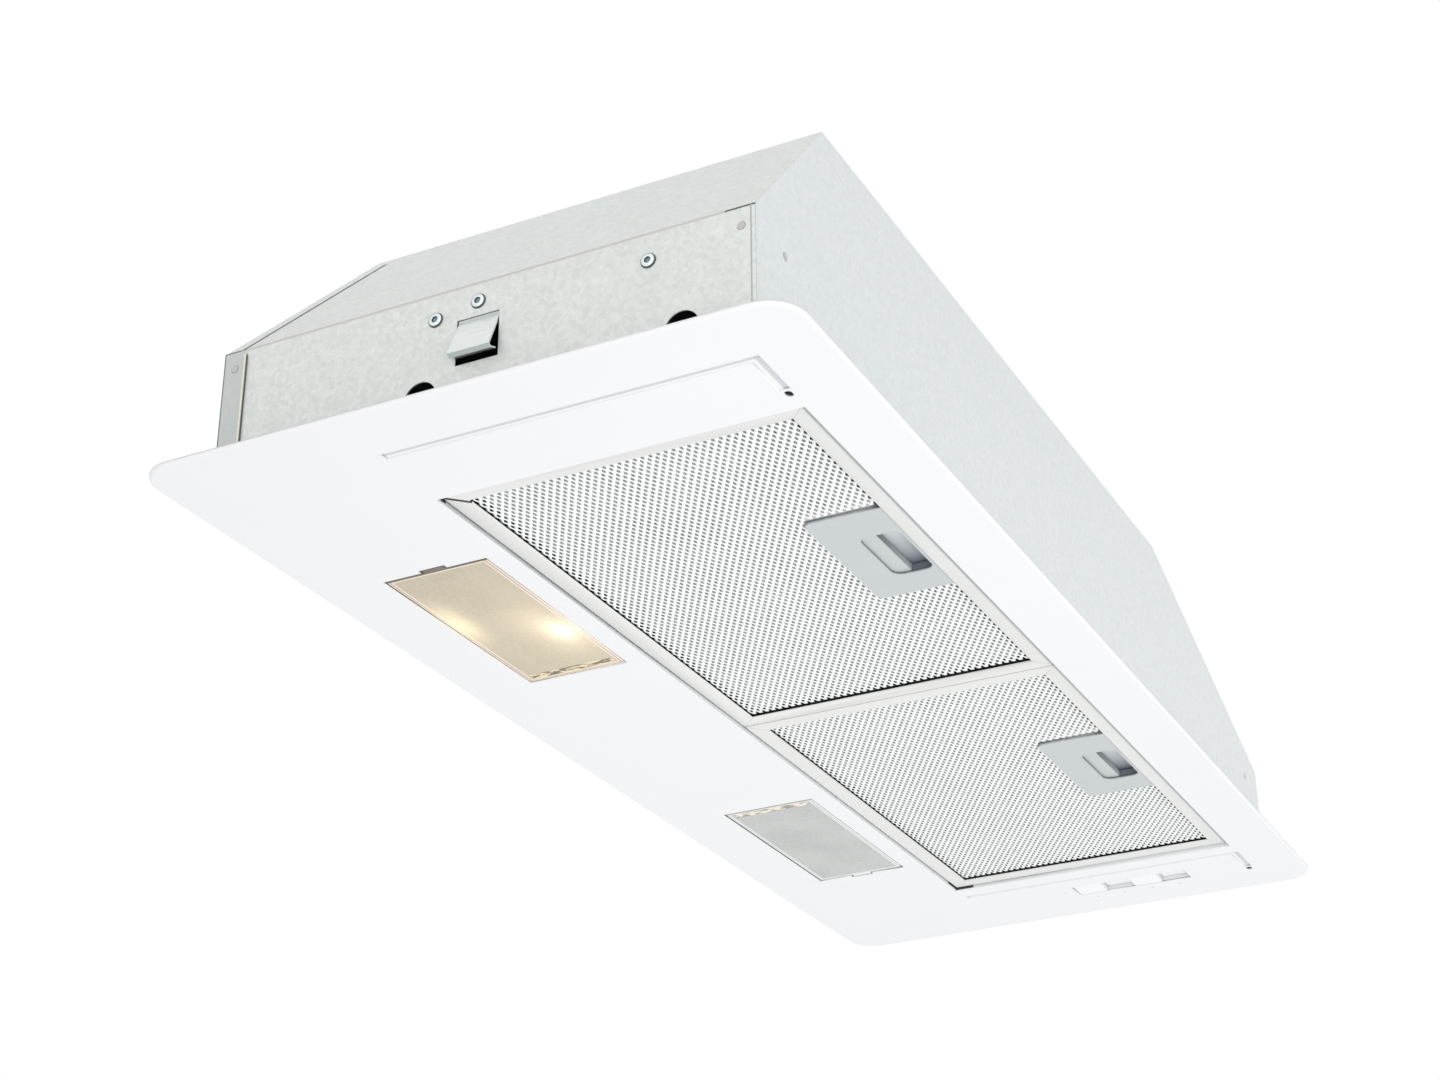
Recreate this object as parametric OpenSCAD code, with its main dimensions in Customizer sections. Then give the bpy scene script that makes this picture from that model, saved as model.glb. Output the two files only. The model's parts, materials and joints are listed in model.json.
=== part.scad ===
// Built-in canopy range hood, seen and used from below.
// Frame: +X to the cook's right, +Y to the wall, +Z up.
// The origin is the centre of the face plate's underside.

/* [Face plate] */
// Length of the face plate along X
plate_l = 700; // [690:1:740]
// Depth of the face plate along Y
plate_w = 286; // [282:1:300]
// Thickness of the painted sheet
plate_t = 1.2; // [1:0.1:1.4]
// Radius of the plate's corners
plate_corner_r = 16; // [10:1:24]
// Height of the hemmed edge
rim_h = 1.8; // [1.6:0.1:2.4]
// Radius of the edge's lower round
rim_r = 1.2; // [0.8:0.1:1.4]
// Width of the plate's lip outside the body, along X
lip_x = 22.5; // [20:0.5:26]
// Width of the plate's lip outside the body, along Y
lip_y = 22.5; // [20:0.5:24]
// Distance of the left L groove from the plate's left edge
groove_left = 34; // [30:1:40]
// Distance of the right L groove from the plate's right edge
groove_right = 60; // [58:1:64]
// Width of the pressed L groove at each end
groove_w = 4; // [3:0.5:5]
// Depth of the pressed L groove
groove_d = 0.8; // [0.5:0.1:1]

/* [Body shell] */
// Thickness of the galvanised sheet
sheet_t = 0.8; // [0.7:0.1:1]
// Height of the end walls above the plate's underside
wall_h = 60.4; // [58:0.2:64]
// Height of the flat top above the plate's underside
body_h = 133.5; // [131:0.5:150]
// Horizontal run of the left roof slope
run_left = 63.5; // [50:0.5:80]
// Horizontal run of the right roof slope
run_right = 167; // [150:1:175]
// Horizontal run of the rear roof slope
run_rear = 26.3; // [15:0.1:30]
// How far the front wall leans in above its crease
front_lean = 1; // [0.5:0.1:2]
// Width of the flange that stands on the plate
flange_w = 8; // [7:0.5:9]
// Width of the rear panel's wrap round each end wall
wrap_w = 11; // [9:0.5:13]
// Width of the front panel's tab behind each end wall
tab_w = 14; // [12:0.5:16]
// Radius of the two fixing holes in each end wall
fix_hole_r = 7.2; // [6:0.1:8]
// Height of the fixing holes
fix_hole_z = 14.6; // [13:0.1:16]
// Place of the rear fixing hole along Y
fix_hole_y = 25; // [20:0.5:30]
// Distance between the fixing holes
fix_hole_gap = 113.9; // [105:0.1:120]

/* [Spring clips] */
// Width of the clip's tongue
clip_w = 18.6; // [16:0.2:20]
// Height of the tongue's bend line
clip_top_z = 45; // [43:0.5:46]
// Height of the tongue's knee
clip_knee_z = 26.9; // [26:0.1:29]
// How far the knee stands out of the wall
clip_reach = 6.5; // [5:0.5:8]
// Thickness of the spring steel
clip_t = 0.8; // [0.6:0.1:1]

/* [Grease filters] */
// Plate strip at each end of the filter opening
open_end = 73.8; // [72:0.2:80]
// Plate strip behind the filter opening
open_rear = 93.6; // [92.6:0.2:100]
// Plate strip in front of the filter opening
open_front = 28.6; // [28.2:0.1:30]
// Height of the opening's turned-up edge
open_edge_h = 5; // [4.5:0.1:5.4]
// Clearance round the filters
filter_clear = 1; // [0.8:0.1:1.2]
// Gap between the two filters
filter_gap = 0.8; // [0.6:0.1:1.2]
// Height of the filters' underside
filter_z = 2.1; // [1.8:0.1:2.4]
// Thickness of a filter
filter_h = 9; // [8.5:0.1:10]
// Width of the filter frame's bars
bar_w = 8.5; // [7.5:0.1:8.9]
// Thickness of the frame's hemmed lower lip
hem_t = 2; // [1.8:0.1:2.2]
// Sheet thickness of the filter frame
frame_t = 0.8; // [0.6:0.1:1]
// Thickness of the outer expanded mesh
mesh_t = 0.6; // [0.5:0.1:0.8]

/* [Filter latches] */
// Length of the latch plate
latch_l = 80; // [76:1:90]
// Depth of the latch plate
latch_w = 35.4; // [34:0.2:38]
// Skin thickness of the latch plate
latch_skin = 1.2; // [1:0.1:1.4]
// Latch centre from the filter's centre
latch_off = -5; // [-10:1:0]
// Length of the finger window
finger_l = 40; // [36:1:44]
// Depth of the finger window
finger_w = 18.8; // [17:0.2:20]
// Depth of the latch slide's tongue within the window
tongue_w = 7.6; // [6.5:0.1:8.5]
// Travel of the latch slide
latch_travel = 5; // [4.5:0.1:5.4]

/* [Lamps] */
// Distance of the lamp centres from the middle
lamp_x = 161; // [155:1:168]
// Distance of the lamp centres from the plate's rear edge
lamp_in = 57.7; // [57:0.1:59]
// Length of the lamp cover
cover_l = 121; // [112:1:124]
// Width of the lamp cover
cover_w = 50; // [46:0.5:51]
// Thickness of the frosted lens
lens_t = 2; // [1.6:0.1:2.2]
// Gap round the lamp cover
cover_gap = 0.8; // [0.6:0.1:1]
// Height of the lamp housing above the plate's underside
lamp_box_h = 46; // [42:1:48]
// Height of the bulb's axis
bulb_z = 24; // [22:0.5:26]
// Radius of the bulb's glass
bulb_r = 12.5; // [10:0.5:13]
// Length of the bulb's glass
bulb_l = 52; // [45:1:58]
// Radius of the lamp socket
socket_r = 14; // [12:0.5:15]

/* [Push buttons] */
// Distance of the button row from the plate's right edge
button_in = 39.7; // [38:0.1:41]
// Place of the button row's middle along Y
button_y = -45.8; // [-50:0.1:-40]
// Pitch of the buttons
button_pitch = 16.67; // [16:0.01:18]
// Width of a button across the row
button_w = 14.9; // [13:0.1:15.5]
// Gap between buttons
button_gap = 0.4; // [0.3:0.05:0.6]
// Height of a button's cap
button_h = 10; // [8:0.5:10.5]
// Height of an unpressed button's face above the plate's underside
button_z = 0.3; // [0.1:0.1:0.5]
// Travel of a button
button_travel = 2.8; // [2:0.1:3]

/* [Blower] */
// Place of the outlet along X
outlet_x = -52; // [-60:1:-40]
// Place of the outlet along Y
outlet_y = -12; // [-16:1:-8]
// Outside radius of the duct collar
collar_r = 75; // [73:0.5:76]
// Height of the collar above the top panel
collar_h = 37.5; // [34:0.5:60]
// Wall thickness of the collar
collar_t = 1.5; // [1.2:0.1:2]
// Outside radius of the impeller
impeller_r = 44; // [40:0.5:45]
// Width of the impeller
impeller_w = 80; // [74:1:82]
// Depth of the blades
blade_d = 8; // [6:0.5:9]
// Number of blades
blade_count = 36; // [24:1:40]
// Width of the scroll housing
scroll_w = 90; // [88:1:94]
// Wall thickness of the scroll
scroll_t = 2; // [1.5:0.1:2.5]
// Gap between impeller and scroll at the tongue
scroll_gap = 5; // [4.5:0.5:5.5]
// Growth of the scroll's radius along its spiral
scroll_grow = 11; // [9:0.5:12]
// Height of the impeller's axis
axis_z = 74; // [73:0.5:78]
// Radius of the inlet in each side of the scroll
inlet_r = 37; // [36:0.5:38]
// Radius of the motor's can
motor_r = 31; // [27:0.5:32]
// Length of the motor's can
motor_l = 40; // [34:1:41]
// Radius of the motor's shaft
shaft_r = 4; // [3:0.25:5]
// Running clearance of the shaft
run_clear = 0.05; // [0.03:0.01:0.08]

/* [Back-draught flaps] */
// Thickness of a flap
flap_t = 1.2; // [1:0.1:1.5]
// Height of the flaps' pin above the top panel
flap_pin_z = 12; // [10:0.5:14]
// Radius of the flaps' pin
flap_pin_r = 1.5; // [1.2:0.1:1.8]

/* [Electrics] */
// Length of the terminal box along X
box_l = 70; // [60:1:76]
// Depth of the terminal box along Y
box_w = 50; // [44:1:52]
// Height of the terminal box
box_h = 30; // [26:1:34]
// Distance of the terminal box's centre from the top panel's right end
box_in = 48.5; // [46:0.5:52]
// Distance of the terminal box's centre from the top panel's rear edge
box_back = 34.2; // [32:0.2:39]
// Wall thickness of the terminal box
box_t = 2; // [1.6:0.1:2.4]
// Radius of the gland's bore for the mains lead
gland_bore_r = 3.9; // [3:0.1:4.5]
// Radius of the gland's shank
gland_r = 8; // [7:0.5:9]
// Radius of the run capacitor
cap_r = 15; // [12:0.5:17]
// Length of the run capacitor
cap_l = 50; // [44:1:60]
// Place of the run capacitor's middle along X
cap_x = 195; // [180:1:205]

/* [Hidden] */
$fn = 48;

// Slack that lets a cut run past the face it opens
eps = 1;
// Room between parts that move against each other
move_gap = 0.3;

// The body's plan
body_l = plate_l - 2 * lip_x;
body_w = plate_w - 2 * lip_y;
body_x = body_l / 2;
body_y = body_w / 2;
rise = body_h - wall_h;
// The sheet's level width across each slope
left_t = sheet_t * sqrt(1 + pow(run_left / rise, 2));
right_t = sheet_t * sqrt(1 + pow(run_right / rise, 2));
rear_t = sheet_t * sqrt(1 + pow(run_rear / rise, 2));
top_left = -body_x + run_left;
top_right = body_x - run_right;
top_rear = body_y - run_rear;
box_x = top_right - box_in;
box_y = top_rear - box_back;

// The filter opening and what hangs in it
open_l = plate_l - 2 * open_end;
open_w = plate_w - open_front - open_rear;
open_y0 = -plate_w / 2 + open_front;
open_y1 = open_y0 + open_w;
filter_l = (open_l - filter_gap) / 2 - filter_clear;
filter_w = open_w - 2 * filter_clear;
filter_y0 = open_y0 + filter_clear;
filter_y1 = open_y1 - filter_clear;
filter_x = (filter_l + filter_gap) / 2;
mesh_z = filter_z + hem_t;
hook_z = open_edge_h + move_gap;
hook_t = 1.5;
hook_reach = 5;
hook_w = 16;

// The latch, from the filter's front bar backwards
latch_z = filter_z + 0.4;
latch_y0 = filter_y0 + bar_w + 0.2;
latch_y1 = latch_y0 + latch_w;
finger_y0 = latch_y0 + 1.5;
finger_y1 = finger_y0 + finger_w;
finger_x = 2;
finger_r = 4.5;
slide_z = latch_z + latch_skin + move_gap;
slide_h = 3.6;
tongue_y0 = finger_y1 - tongue_w;
tongue_y1 = finger_y1 + latch_travel + 1;
slide_x = finger_l / 2 + 5;
arm_w = 4;
bolt_w = 8;
bolt_y = open_y0 + move_gap;
bolt_z = open_edge_h + move_gap;
bolt_h = slide_z + slide_h - bolt_z;
latch_wall = 1.2;
latch_top = filter_z + filter_h - frame_t;
spring_r = 1.5;
spring_x = 12;

// The lamps, drawn on the right and mirrored to the left
lamp_y = plate_w / 2 - lamp_in;
socket_room = 36;
cover_z = 0.4;
cover_x0 = lamp_x - cover_l / 2;
cover_x1 = lamp_x + cover_l / 2;
cover_wall_h = 7;
cover_wall_t = 1.2;
cover_tab_w = 11;
cover_tab_l = 2.4;
cover_hook_l = 4.5;
lamp_box_x0 = cover_x0 - socket_room;
lamp_box_x1 = cover_x1 + 7;
lamp_box_w = cover_w + 8;
socket_l = 30;
socket_x = lamp_box_x0 + sheet_t;
bulb_cap_r = 6.9;
bulb_cap_l = 18;

// The push-button row
button_x = plate_l / 2 - button_in;
button_len = button_pitch - button_gap;
window_w = button_w + 2 * (move_gap + 0.05);
window_l = 4 * button_pitch + 2 * move_gap - button_gap;
stem_r = 2.5;
stem_l = 11;
switch_wall = 3;
switch_h = button_z + button_h + stem_l + button_travel + 4;
pressed = [false, true, false, true];

// The blower's scroll, with its outlet centred under the collar
tongue_a = 110;
scroll_a = 360 - tongue_a;
scroll_r0 = impeller_r + scroll_gap;
scroll_r1 = scroll_r0 + scroll_grow;
throat_y0 = scroll_r0 * cos(tongue_a);
axis_y = outlet_y - (throat_y0 + scroll_r1) / 2;
under_top = body_h - sheet_t;
blower_flange_t = 2;
blower_flange = 2 * collar_r - 22;
collar_screw_r = collar_r + 6.5;
collar_flange_r = collar_r + 11;
collar_flange_t = 1.5;
pad_r = 6;
pad_place = inlet_r + 3 + pad_r;
pad_angles = [30, 150, 270];
grommet_t = 2;
bracket_t = 2;
side_x = outlet_x - scroll_w / 2;
motor_x = side_x - grommet_t - bracket_t;
hub_r = 9;
hub_l = 16;
disc_t = 1.6;
vane_ring_w = 2;

// The flaps in the collar
flap_z = body_h + flap_pin_z;
flap_in = 5;
rear_knuckle_x = 18;
front_knuckle_x = 42;
flap_r = collar_r - collar_t - 2.5;
knuckle_r = flap_pin_r + 1.2;
knuckle_l = 10;

// Screws, rivets and nuts
screw_r = 1.75;
screw_head_r = 3.2;
screw_head_h = 1.8;
rivet_r = 1.6;
rivet_head_r = 3.3;
rivet_head_h = 1.1;
stud_r = 1.5;
nut_r = 3.1;
nut_h = 2.4;
corner_screw_z = wall_h - 8.6;
front_screw_x = 24;
front_screw_z = wall_h - 10.5;
rear_screw_y = body_y - wrap_w / 2;
front_tab_y = -body_y + 6.7;
// Each rivet's place along Y and its height
rivets = [[19.3, clip_top_z + 3.2], [0, clip_top_z + 6.5], [-74.8, clip_top_z + 2.8]];
switch_ear = 7;

// A rectangle with round corners, about the origin
module rounded_rect(l, w, r) {
    square([l - 2 * r, w], center = true);
    square([l, w - 2 * r], center = true);
    for (x = [-1, 1], y = [-1, 1])
        translate([x * (l / 2 - r), y * (w / 2 - r)]) circle(r);
}

// Sweeps a profile round a rounded rectangle; the profile's x counts from the corner's centre
module swept_rim(l, w, r) {
    for (a = [0, 180]) rotate(a) {
        translate([l / 2 - r, 0, 0]) rotate([90, 0, 0])
            linear_extrude(w - 2 * r, center = true) children();
        translate([l / 2 - r, w / 2 - r, 0]) rotate_extrude(angle = 90) children();
        rotate(90) translate([w / 2 - r, 0, 0]) rotate([90, 0, 0])
            linear_extrude(l - 2 * r, center = true) children();
        rotate(90) translate([w / 2 - r, l / 2 - r, 0]) rotate_extrude(angle = 90) children();
    }
}

// A sheet that lies in the XZ plane, from y upwards by t
module xz_sheet(y, t) {
    translate([0, y + t, 0]) rotate([90, 0, 0]) linear_extrude(t) children();
}

// A bar along X with its section in the YZ plane
module yz_bar(x, l) {
    translate([x, 0, 0]) rotate([90, 0, 90]) linear_extrude(l) children();
}

// The plate's hemmed edge: a lower round, and a bead that stands a little above the sheet
module rim_profile() {
    c = plate_corner_r - rim_r;
    intersection() {
        translate([c, rim_r]) circle(rim_r);
        translate([c, 0]) square(rim_r);
    }
    translate([c, rim_r]) square([rim_r, rim_h - rim_r]);
    translate([c - 1, 0]) square([1, plate_t]);
}

// A pressed groove's long and short legs, as a flat figure that can be grown all round
groove_y = open_y0 + 1;
groove_short = 26;
module groove_path(x, grow) {
    w = groove_w + 2 * grow;
    translate([x - w / 2, groove_y - w / 2]) square([w, open_y1 - groove_y + 2 * grow]);
    translate([x - w / 2, groove_y - w / 2]) square([groove_short + 2 * grow, w]);
}

// The slot beyond the end of a groove's short leg
module groove_slot(x) {
    slot_l = 4.5;
    slot_w = 3;
    translate([x + groove_short + slot_l / 2, groove_y]) {
        for (s = [-1, 1]) translate([s * (slot_l - slot_w) / 2, 0]) circle(slot_w / 2);
        square([slot_l - slot_w, slot_w], center = true);
    }
}

groove_xs = [-plate_l / 2 + groove_left, plate_l / 2 - groove_right];

// Places of the studs that hold the body's flange
stud_line = flange_w - 3.5;
module stud_places() {
    for (x = [-0.44, -0.15, 0.15, 0.44], s = [-1, 1])
        translate([x * body_l, s * (body_y + stud_line)]) children();
    for (s = [-1, 1], y = [-0.25, 0.25])
        translate([s * (body_x + stud_line), y * body_w]) children();
}

module face_plate() {
    color([0.95, 0.96, 0.97]) {
        difference() {
            union() {
                linear_extrude(plate_t)
                    rounded_rect(plate_l - 2 * rim_r, plate_w - 2 * rim_r, plate_corner_r - rim_r);
                translate([-open_l / 2 - plate_t, open_y0 - plate_t, 0])
                    cube([open_l + 2 * plate_t, open_w + 2 * plate_t, open_edge_h]);
                for (x = groove_xs) linear_extrude(plate_t + groove_d) groove_path(x, 1);
                stud_places() cylinder(h = plate_t + sheet_t + nut_h + 1, r = stud_r);
            }
            translate([-open_l / 2, open_y0, -eps]) cube([open_l, open_w, open_edge_h + 2 * eps]);
            for (x = groove_xs) {
                translate([0, 0, -eps]) linear_extrude(groove_d + eps) groove_path(x, 0);
                translate([0, 0, -eps]) linear_extrude(plate_t + 2 * eps) groove_slot(x);
            }
            for (s = [-1, 1]) translate([s * lamp_x, lamp_y, -eps]) {
                linear_extrude(plate_t + 2 * eps)
                    square([cover_l + 2 * cover_gap, cover_w + 2 * cover_gap], center = true);
                translate([s * (cover_l / 2 + cover_tab_l / 2), 0, 0]) linear_extrude(plate_t + 2 * eps)
                    square([cover_tab_l + 2 * cover_gap, cover_tab_w + 2 * cover_gap], center = true);
            }
            translate([button_x, button_y, -eps]) linear_extrude(plate_t + 2 * eps)
                square([window_w, window_l], center = true);
            for (s = [-1, 1]) translate([button_x, button_y + s * (window_l / 2 + switch_ear), -eps])
                cylinder(h = plate_t - 0.4 + eps, r = 0.6);
        }
        swept_rim(plate_l, plate_w, plate_corner_r) rim_profile();
    }
}

// The long walls' outline, as a hexagon in the XZ plane
module long_outline(z0) {
    polygon([[-body_x, z0], [body_x, z0], [body_x, wall_h], [top_right, body_h],
             [top_left, body_h], [-body_x, wall_h]]);
}

module front_panel() {
    color([0.8, 0.84, 0.83]) {
        difference() {
            intersection() {
                yz_bar(-body_x, body_l)
                    polygon([[-body_y - flange_w, plate_t], [-body_y - flange_w, plate_t + sheet_t],
                             [-body_y, plate_t + sheet_t], [-body_y, wall_h],
                             [-body_y + front_lean, body_h], [-body_y + front_lean + sheet_t, body_h],
                             [-body_y + sheet_t, wall_h], [-body_y + sheet_t, plate_t]]);
                xz_sheet(-body_y - flange_w - eps, flange_w + 2 * sheet_t + front_lean + 2 * eps)
                    long_outline(0);
            }
            for (s = [-1, 1]) translate([s * (body_x - front_screw_x), -body_y - eps, front_screw_z])
                rotate([-90, 0, 0]) cylinder(h = sheet_t + 2 * eps, r = screw_r);
            stud_places() cylinder(h = plate_t + sheet_t + eps, r = stud_r + 0.3);
        }
        for (s = [-1, 1]) difference() {
            translate([s * (body_x - 1.5 * sheet_t), -body_y + sheet_t + tab_w / 2, wall_h / 2])
                cube([sheet_t, tab_w, wall_h - 8], center = true);
            translate([s * body_x, front_tab_y, corner_screw_z]) rotate([0, 90, 0])
                cylinder(h = 6 * sheet_t, r = screw_r, center = true);
        }
    }
}

// The rear panel's wrap, with a round top corner, just short of the slope's edge
module wrap_outline() {
    r = 4;
    y0 = body_y - wrap_w;
    top = wall_h - move_gap;
    translate([y0, plate_t]) square([wrap_w, top - r - plate_t]);
    translate([y0 + r, plate_t]) square([wrap_w - r, top - plate_t]);
    translate([y0 + r, top - r]) circle(r);
}

module rear_panel() {
    color([0.78, 0.82, 0.81]) {
        difference() {
            intersection() {
                yz_bar(-body_x, body_l)
                    polygon([[body_y + flange_w, plate_t], [body_y + flange_w, plate_t + sheet_t],
                             [body_y, plate_t + sheet_t], [body_y, wall_h], [top_rear, body_h],
                             [top_rear - rear_t, body_h], [body_y - rear_t, wall_h],
                             [body_y - sheet_t, wall_h], [body_y - sheet_t, plate_t]]);
                xz_sheet(top_rear - rear_t - eps, run_rear + flange_w + rear_t + 2 * eps) long_outline(0);
            }
            stud_places() cylinder(h = plate_t + sheet_t + eps, r = stud_r + 0.3);
            for (s = [-1, 1]) translate([s * (body_x - front_screw_x), body_y + eps, front_screw_z])
                rotate([90, 0, 0]) cylinder(h = sheet_t + 2 * eps, r = screw_r);
        }
        for (s = [-1, 1]) difference() {
            translate([s * (body_x + sheet_t / 2), 0, 0]) yz_bar(-sheet_t / 2, sheet_t) wrap_outline();
            translate([s * body_x, rear_screw_y, corner_screw_z]) rotate([0, 90, 0])
                cylinder(h = 6 * sheet_t, r = screw_r, center = true);
        }
    }
}

// A spring clip's bend line, and the lowest point of its lip as it swings about that line
clip_bend_x = -body_x + 1.5 * sheet_t;
lip_x_run = 2.2;
lip_drop = 1;
lip_swing_r = sqrt(pow(clip_bend_x + body_x + clip_reach - lip_x_run, 2)
                   + pow(clip_top_z - clip_knee_z + lip_drop, 2));
// Lower edge of the window that the tongue comes out of
clip_window_z = clip_top_z - lip_swing_r - move_gap;

// The left end wall; the right one is its mirror image
module end_wall() {
    flange_y = body_y - wrap_w - 1;
    difference() {
        union() {
            translate([-body_x, -body_y + sheet_t, plate_t])
                cube([sheet_t, body_w - 2 * sheet_t, wall_h - plate_t]);
            translate([-body_x - flange_w, -flange_y, plate_t])
                cube([flange_w, 2 * flange_y, sheet_t]);
        }
        translate([-body_x - eps, -clip_w / 2 - move_gap, clip_window_z])
            cube([sheet_t + 2 * eps, clip_w + 2 * move_gap, clip_top_z + move_gap - clip_window_z]);
        for (y = [fix_hole_y, fix_hole_y - fix_hole_gap])
            translate([-body_x - eps, y, fix_hole_z]) rotate([0, 90, 0])
                cylinder(h = sheet_t + 2 * eps, r = fix_hole_r);
        for (y = [rear_screw_y, front_tab_y])
            translate([-body_x - eps, y, corner_screw_z]) rotate([0, 90, 0])
                cylinder(h = sheet_t + 2 * eps, r = screw_r);
        for (p = rivets) translate([-body_x - eps, p[0], p[1]]) rotate([0, 90, 0])
            cylinder(h = sheet_t + 2 * eps, r = rivet_r);
        stud_places() cylinder(h = plate_t + sheet_t + eps, r = stud_r + 0.3);
    }
}

module left_end_wall() {
    color([0.82, 0.84, 0.8]) end_wall();
}

module right_end_wall() {
    color([0.82, 0.84, 0.8]) mirror([1, 0, 0]) end_wall();
}

// What lies inside the long walls, as a section in the YZ plane
module inner_section() {
    polygon([[-body_y + sheet_t, 0], [-body_y + sheet_t, wall_h],
             [-body_y + sheet_t + front_lean, body_h], [top_rear - rear_t, body_h],
             [body_y - rear_t, wall_h], [body_y - rear_t, 0]]);
}

module left_slope_panel() {
    color([0.76, 0.8, 0.79]) intersection() {
        xz_sheet(-body_y, body_w)
            polygon([[-body_x, wall_h], [top_left, body_h], [top_left + left_t, body_h],
                     [-body_x + left_t, wall_h]]);
        yz_bar(-body_x - eps, run_left + left_t + 2 * eps) inner_section();
    }
}

module right_slope_panel() {
    color([0.76, 0.8, 0.79]) intersection() {
        xz_sheet(-body_y, body_w)
            polygon([[body_x, wall_h], [top_right, body_h], [top_right - right_t, body_h],
                     [body_x - right_t, wall_h]]);
        yz_bar(top_right - right_t - eps, run_right + right_t + 2 * eps) inner_section();
    }
}

// Places of the screws that hold the collar, the top panel and the blower together
module collar_screw_places() {
    for (a = [45:90:315])
        translate([outlet_x + collar_screw_r * cos(a), outlet_y + collar_screw_r * sin(a), 0])
            children();
}

// Places of the screws that hold the terminal box under the top panel
box_screw_x = box_l / 2 - 6;
module box_screw_places() {
    for (s = [-1, 1]) translate([box_x + s * box_screw_x, box_y - s * (box_w / 2 - 6), 0]) children();
}

gland_x = box_x + 12;
gland_y = box_y;

module top_panel() {
    color([0.79, 0.83, 0.82]) difference() {
        intersection() {
            translate([top_left + left_t, -body_y, under_top])
                cube([top_right - right_t - top_left - left_t, body_w, sheet_t]);
            yz_bar(-body_x, body_l) inner_section();
        }
        translate([outlet_x, outlet_y, under_top - eps])
            cylinder(h = sheet_t + 2 * eps, r = collar_r - collar_t - 1.5);
        collar_screw_places() translate([0, 0, under_top - eps])
            cylinder(h = sheet_t + 2 * eps, r = screw_r);
        box_screw_places() translate([0, 0, under_top - eps])
            cylinder(h = sheet_t + 2 * eps, r = screw_r);
        translate([gland_x, gland_y, under_top - eps]) cylinder(h = sheet_t + 2 * eps, r = gland_r);
    }
}

// A pan-head screw whose head rests at z = 0 and whose shank points down
module screw(l) {
    cylinder(h = screw_head_h * 0.5, r = screw_head_r);
    translate([0, 0, screw_head_h * 0.5])
        cylinder(h = screw_head_h * 0.5, r1 = screw_head_r, r2 = screw_head_r * 0.7);
    translate([0, 0, -l]) cylinder(h = l, r = screw_r - 0.05);
}

// A face at x = side * place, with +Z turned outwards
module on_side(side, place, y, z) {
    translate([side * place, y, z]) rotate([0, side * 90, 0]) children();
}

module body_screws() {
    color([0.7, 0.71, 0.72]) {
        for (s = [-1, 1]) {
            on_side(s, body_x + sheet_t, rear_screw_y, corner_screw_z) screw(5);
            on_side(s, body_x, front_tab_y, corner_screw_z) screw(5);
            translate([s * (body_x - front_screw_x), -body_y, front_screw_z])
                rotate([90, 0, 0]) screw(5);
            translate([s * (body_x - front_screw_x), body_y, front_screw_z])
                rotate([-90, 0, 0]) screw(5);
        }
        collar_screw_places() translate([0, 0, body_h + collar_flange_t]) screw(7);
        box_screw_places() translate([0, 0, body_h]) screw(6);
        for (a = pad_angles) translate([motor_x, axis_y, axis_z]) rotate([a, 0, 0])
            translate([0, pad_place, 0]) rotate([0, -90, 0]) screw(6);
    }
}

module wall_rivets() {
    color([0.62, 0.66, 0.66]) for (s = [-1, 1], p = rivets)
        on_side(s, body_x, p[0], p[1]) {
            difference() {
                cylinder(h = rivet_head_h, r1 = rivet_head_r, r2 = rivet_head_r * 0.75);
                translate([0, 0, 0.3]) cylinder(h = rivet_head_h, r = 1.1);
            }
            translate([0, 0, -4]) cylinder(h = 4.2, r = rivet_r - 0.03);
        }
}

module plate_nuts() {
    color([0.72, 0.72, 0.7]) stud_places() translate([0, 0, plate_t + sheet_t]) difference() {
        cylinder(h = nut_h, r = nut_r, $fn = 6);
        translate([0, 0, -eps]) cylinder(h = nut_h + 2 * eps, r = stud_r + 0.05);
    }
}

// The spring clip's base, riveted inside the left end wall
module clip_plate() {
    margin = 6;
    plate_h = 10;
    translate([-body_x + sheet_t, 0, 0]) difference() {
        translate([0, rivets[2][0] - margin, clip_top_z + 0.5])
            cube([clip_t, rivets[0][0] - rivets[2][0] + 2 * margin, plate_h]);
        for (p = rivets) translate([-eps, p[0], p[1]]) rotate([0, 90, 0])
            cylinder(h = clip_t + 2 * eps, r = rivet_r);
    }
}

module clip_plate_left() {
    color([0.6, 0.62, 0.64]) clip_plate();
}

module clip_plate_right() {
    color([0.6, 0.62, 0.64]) mirror([1, 0, 0]) clip_plate();
}

// The tongue that springs out through the left end wall and grips the cut-out
module clip_tongue() {
    x0 = -body_x + sheet_t;
    xk = -body_x - clip_reach;
    xm = xk + lip_x_run;
    zm = clip_knee_z - lip_drop;
    xl = xk + 2.5 * lip_x_run;
    zl = clip_knee_z + 0.3;
    translate([0, clip_w / 2, 0]) rotate([90, 0, 0]) linear_extrude(clip_w)
        polygon([[x0, clip_top_z - move_gap + 0.5], [x0, clip_top_z - 1.4], [xk, clip_knee_z],
                 [xm, zm], [xl, zl], [xl, zl + clip_t], [xm, zm + clip_t],
                 [xk + 1.5 * clip_t, clip_knee_z + 0.2], [x0 + clip_t, clip_top_z - 1.2],
                 [x0 + clip_t, clip_top_z - move_gap + 0.5]]);
}

module clip_tongue_left() {
    color([0.72, 0.76, 0.75]) clip_tongue();
}

module clip_tongue_right() {
    color([0.72, 0.76, 0.75]) mirror([1, 0, 0]) clip_tongue();
}

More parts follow.
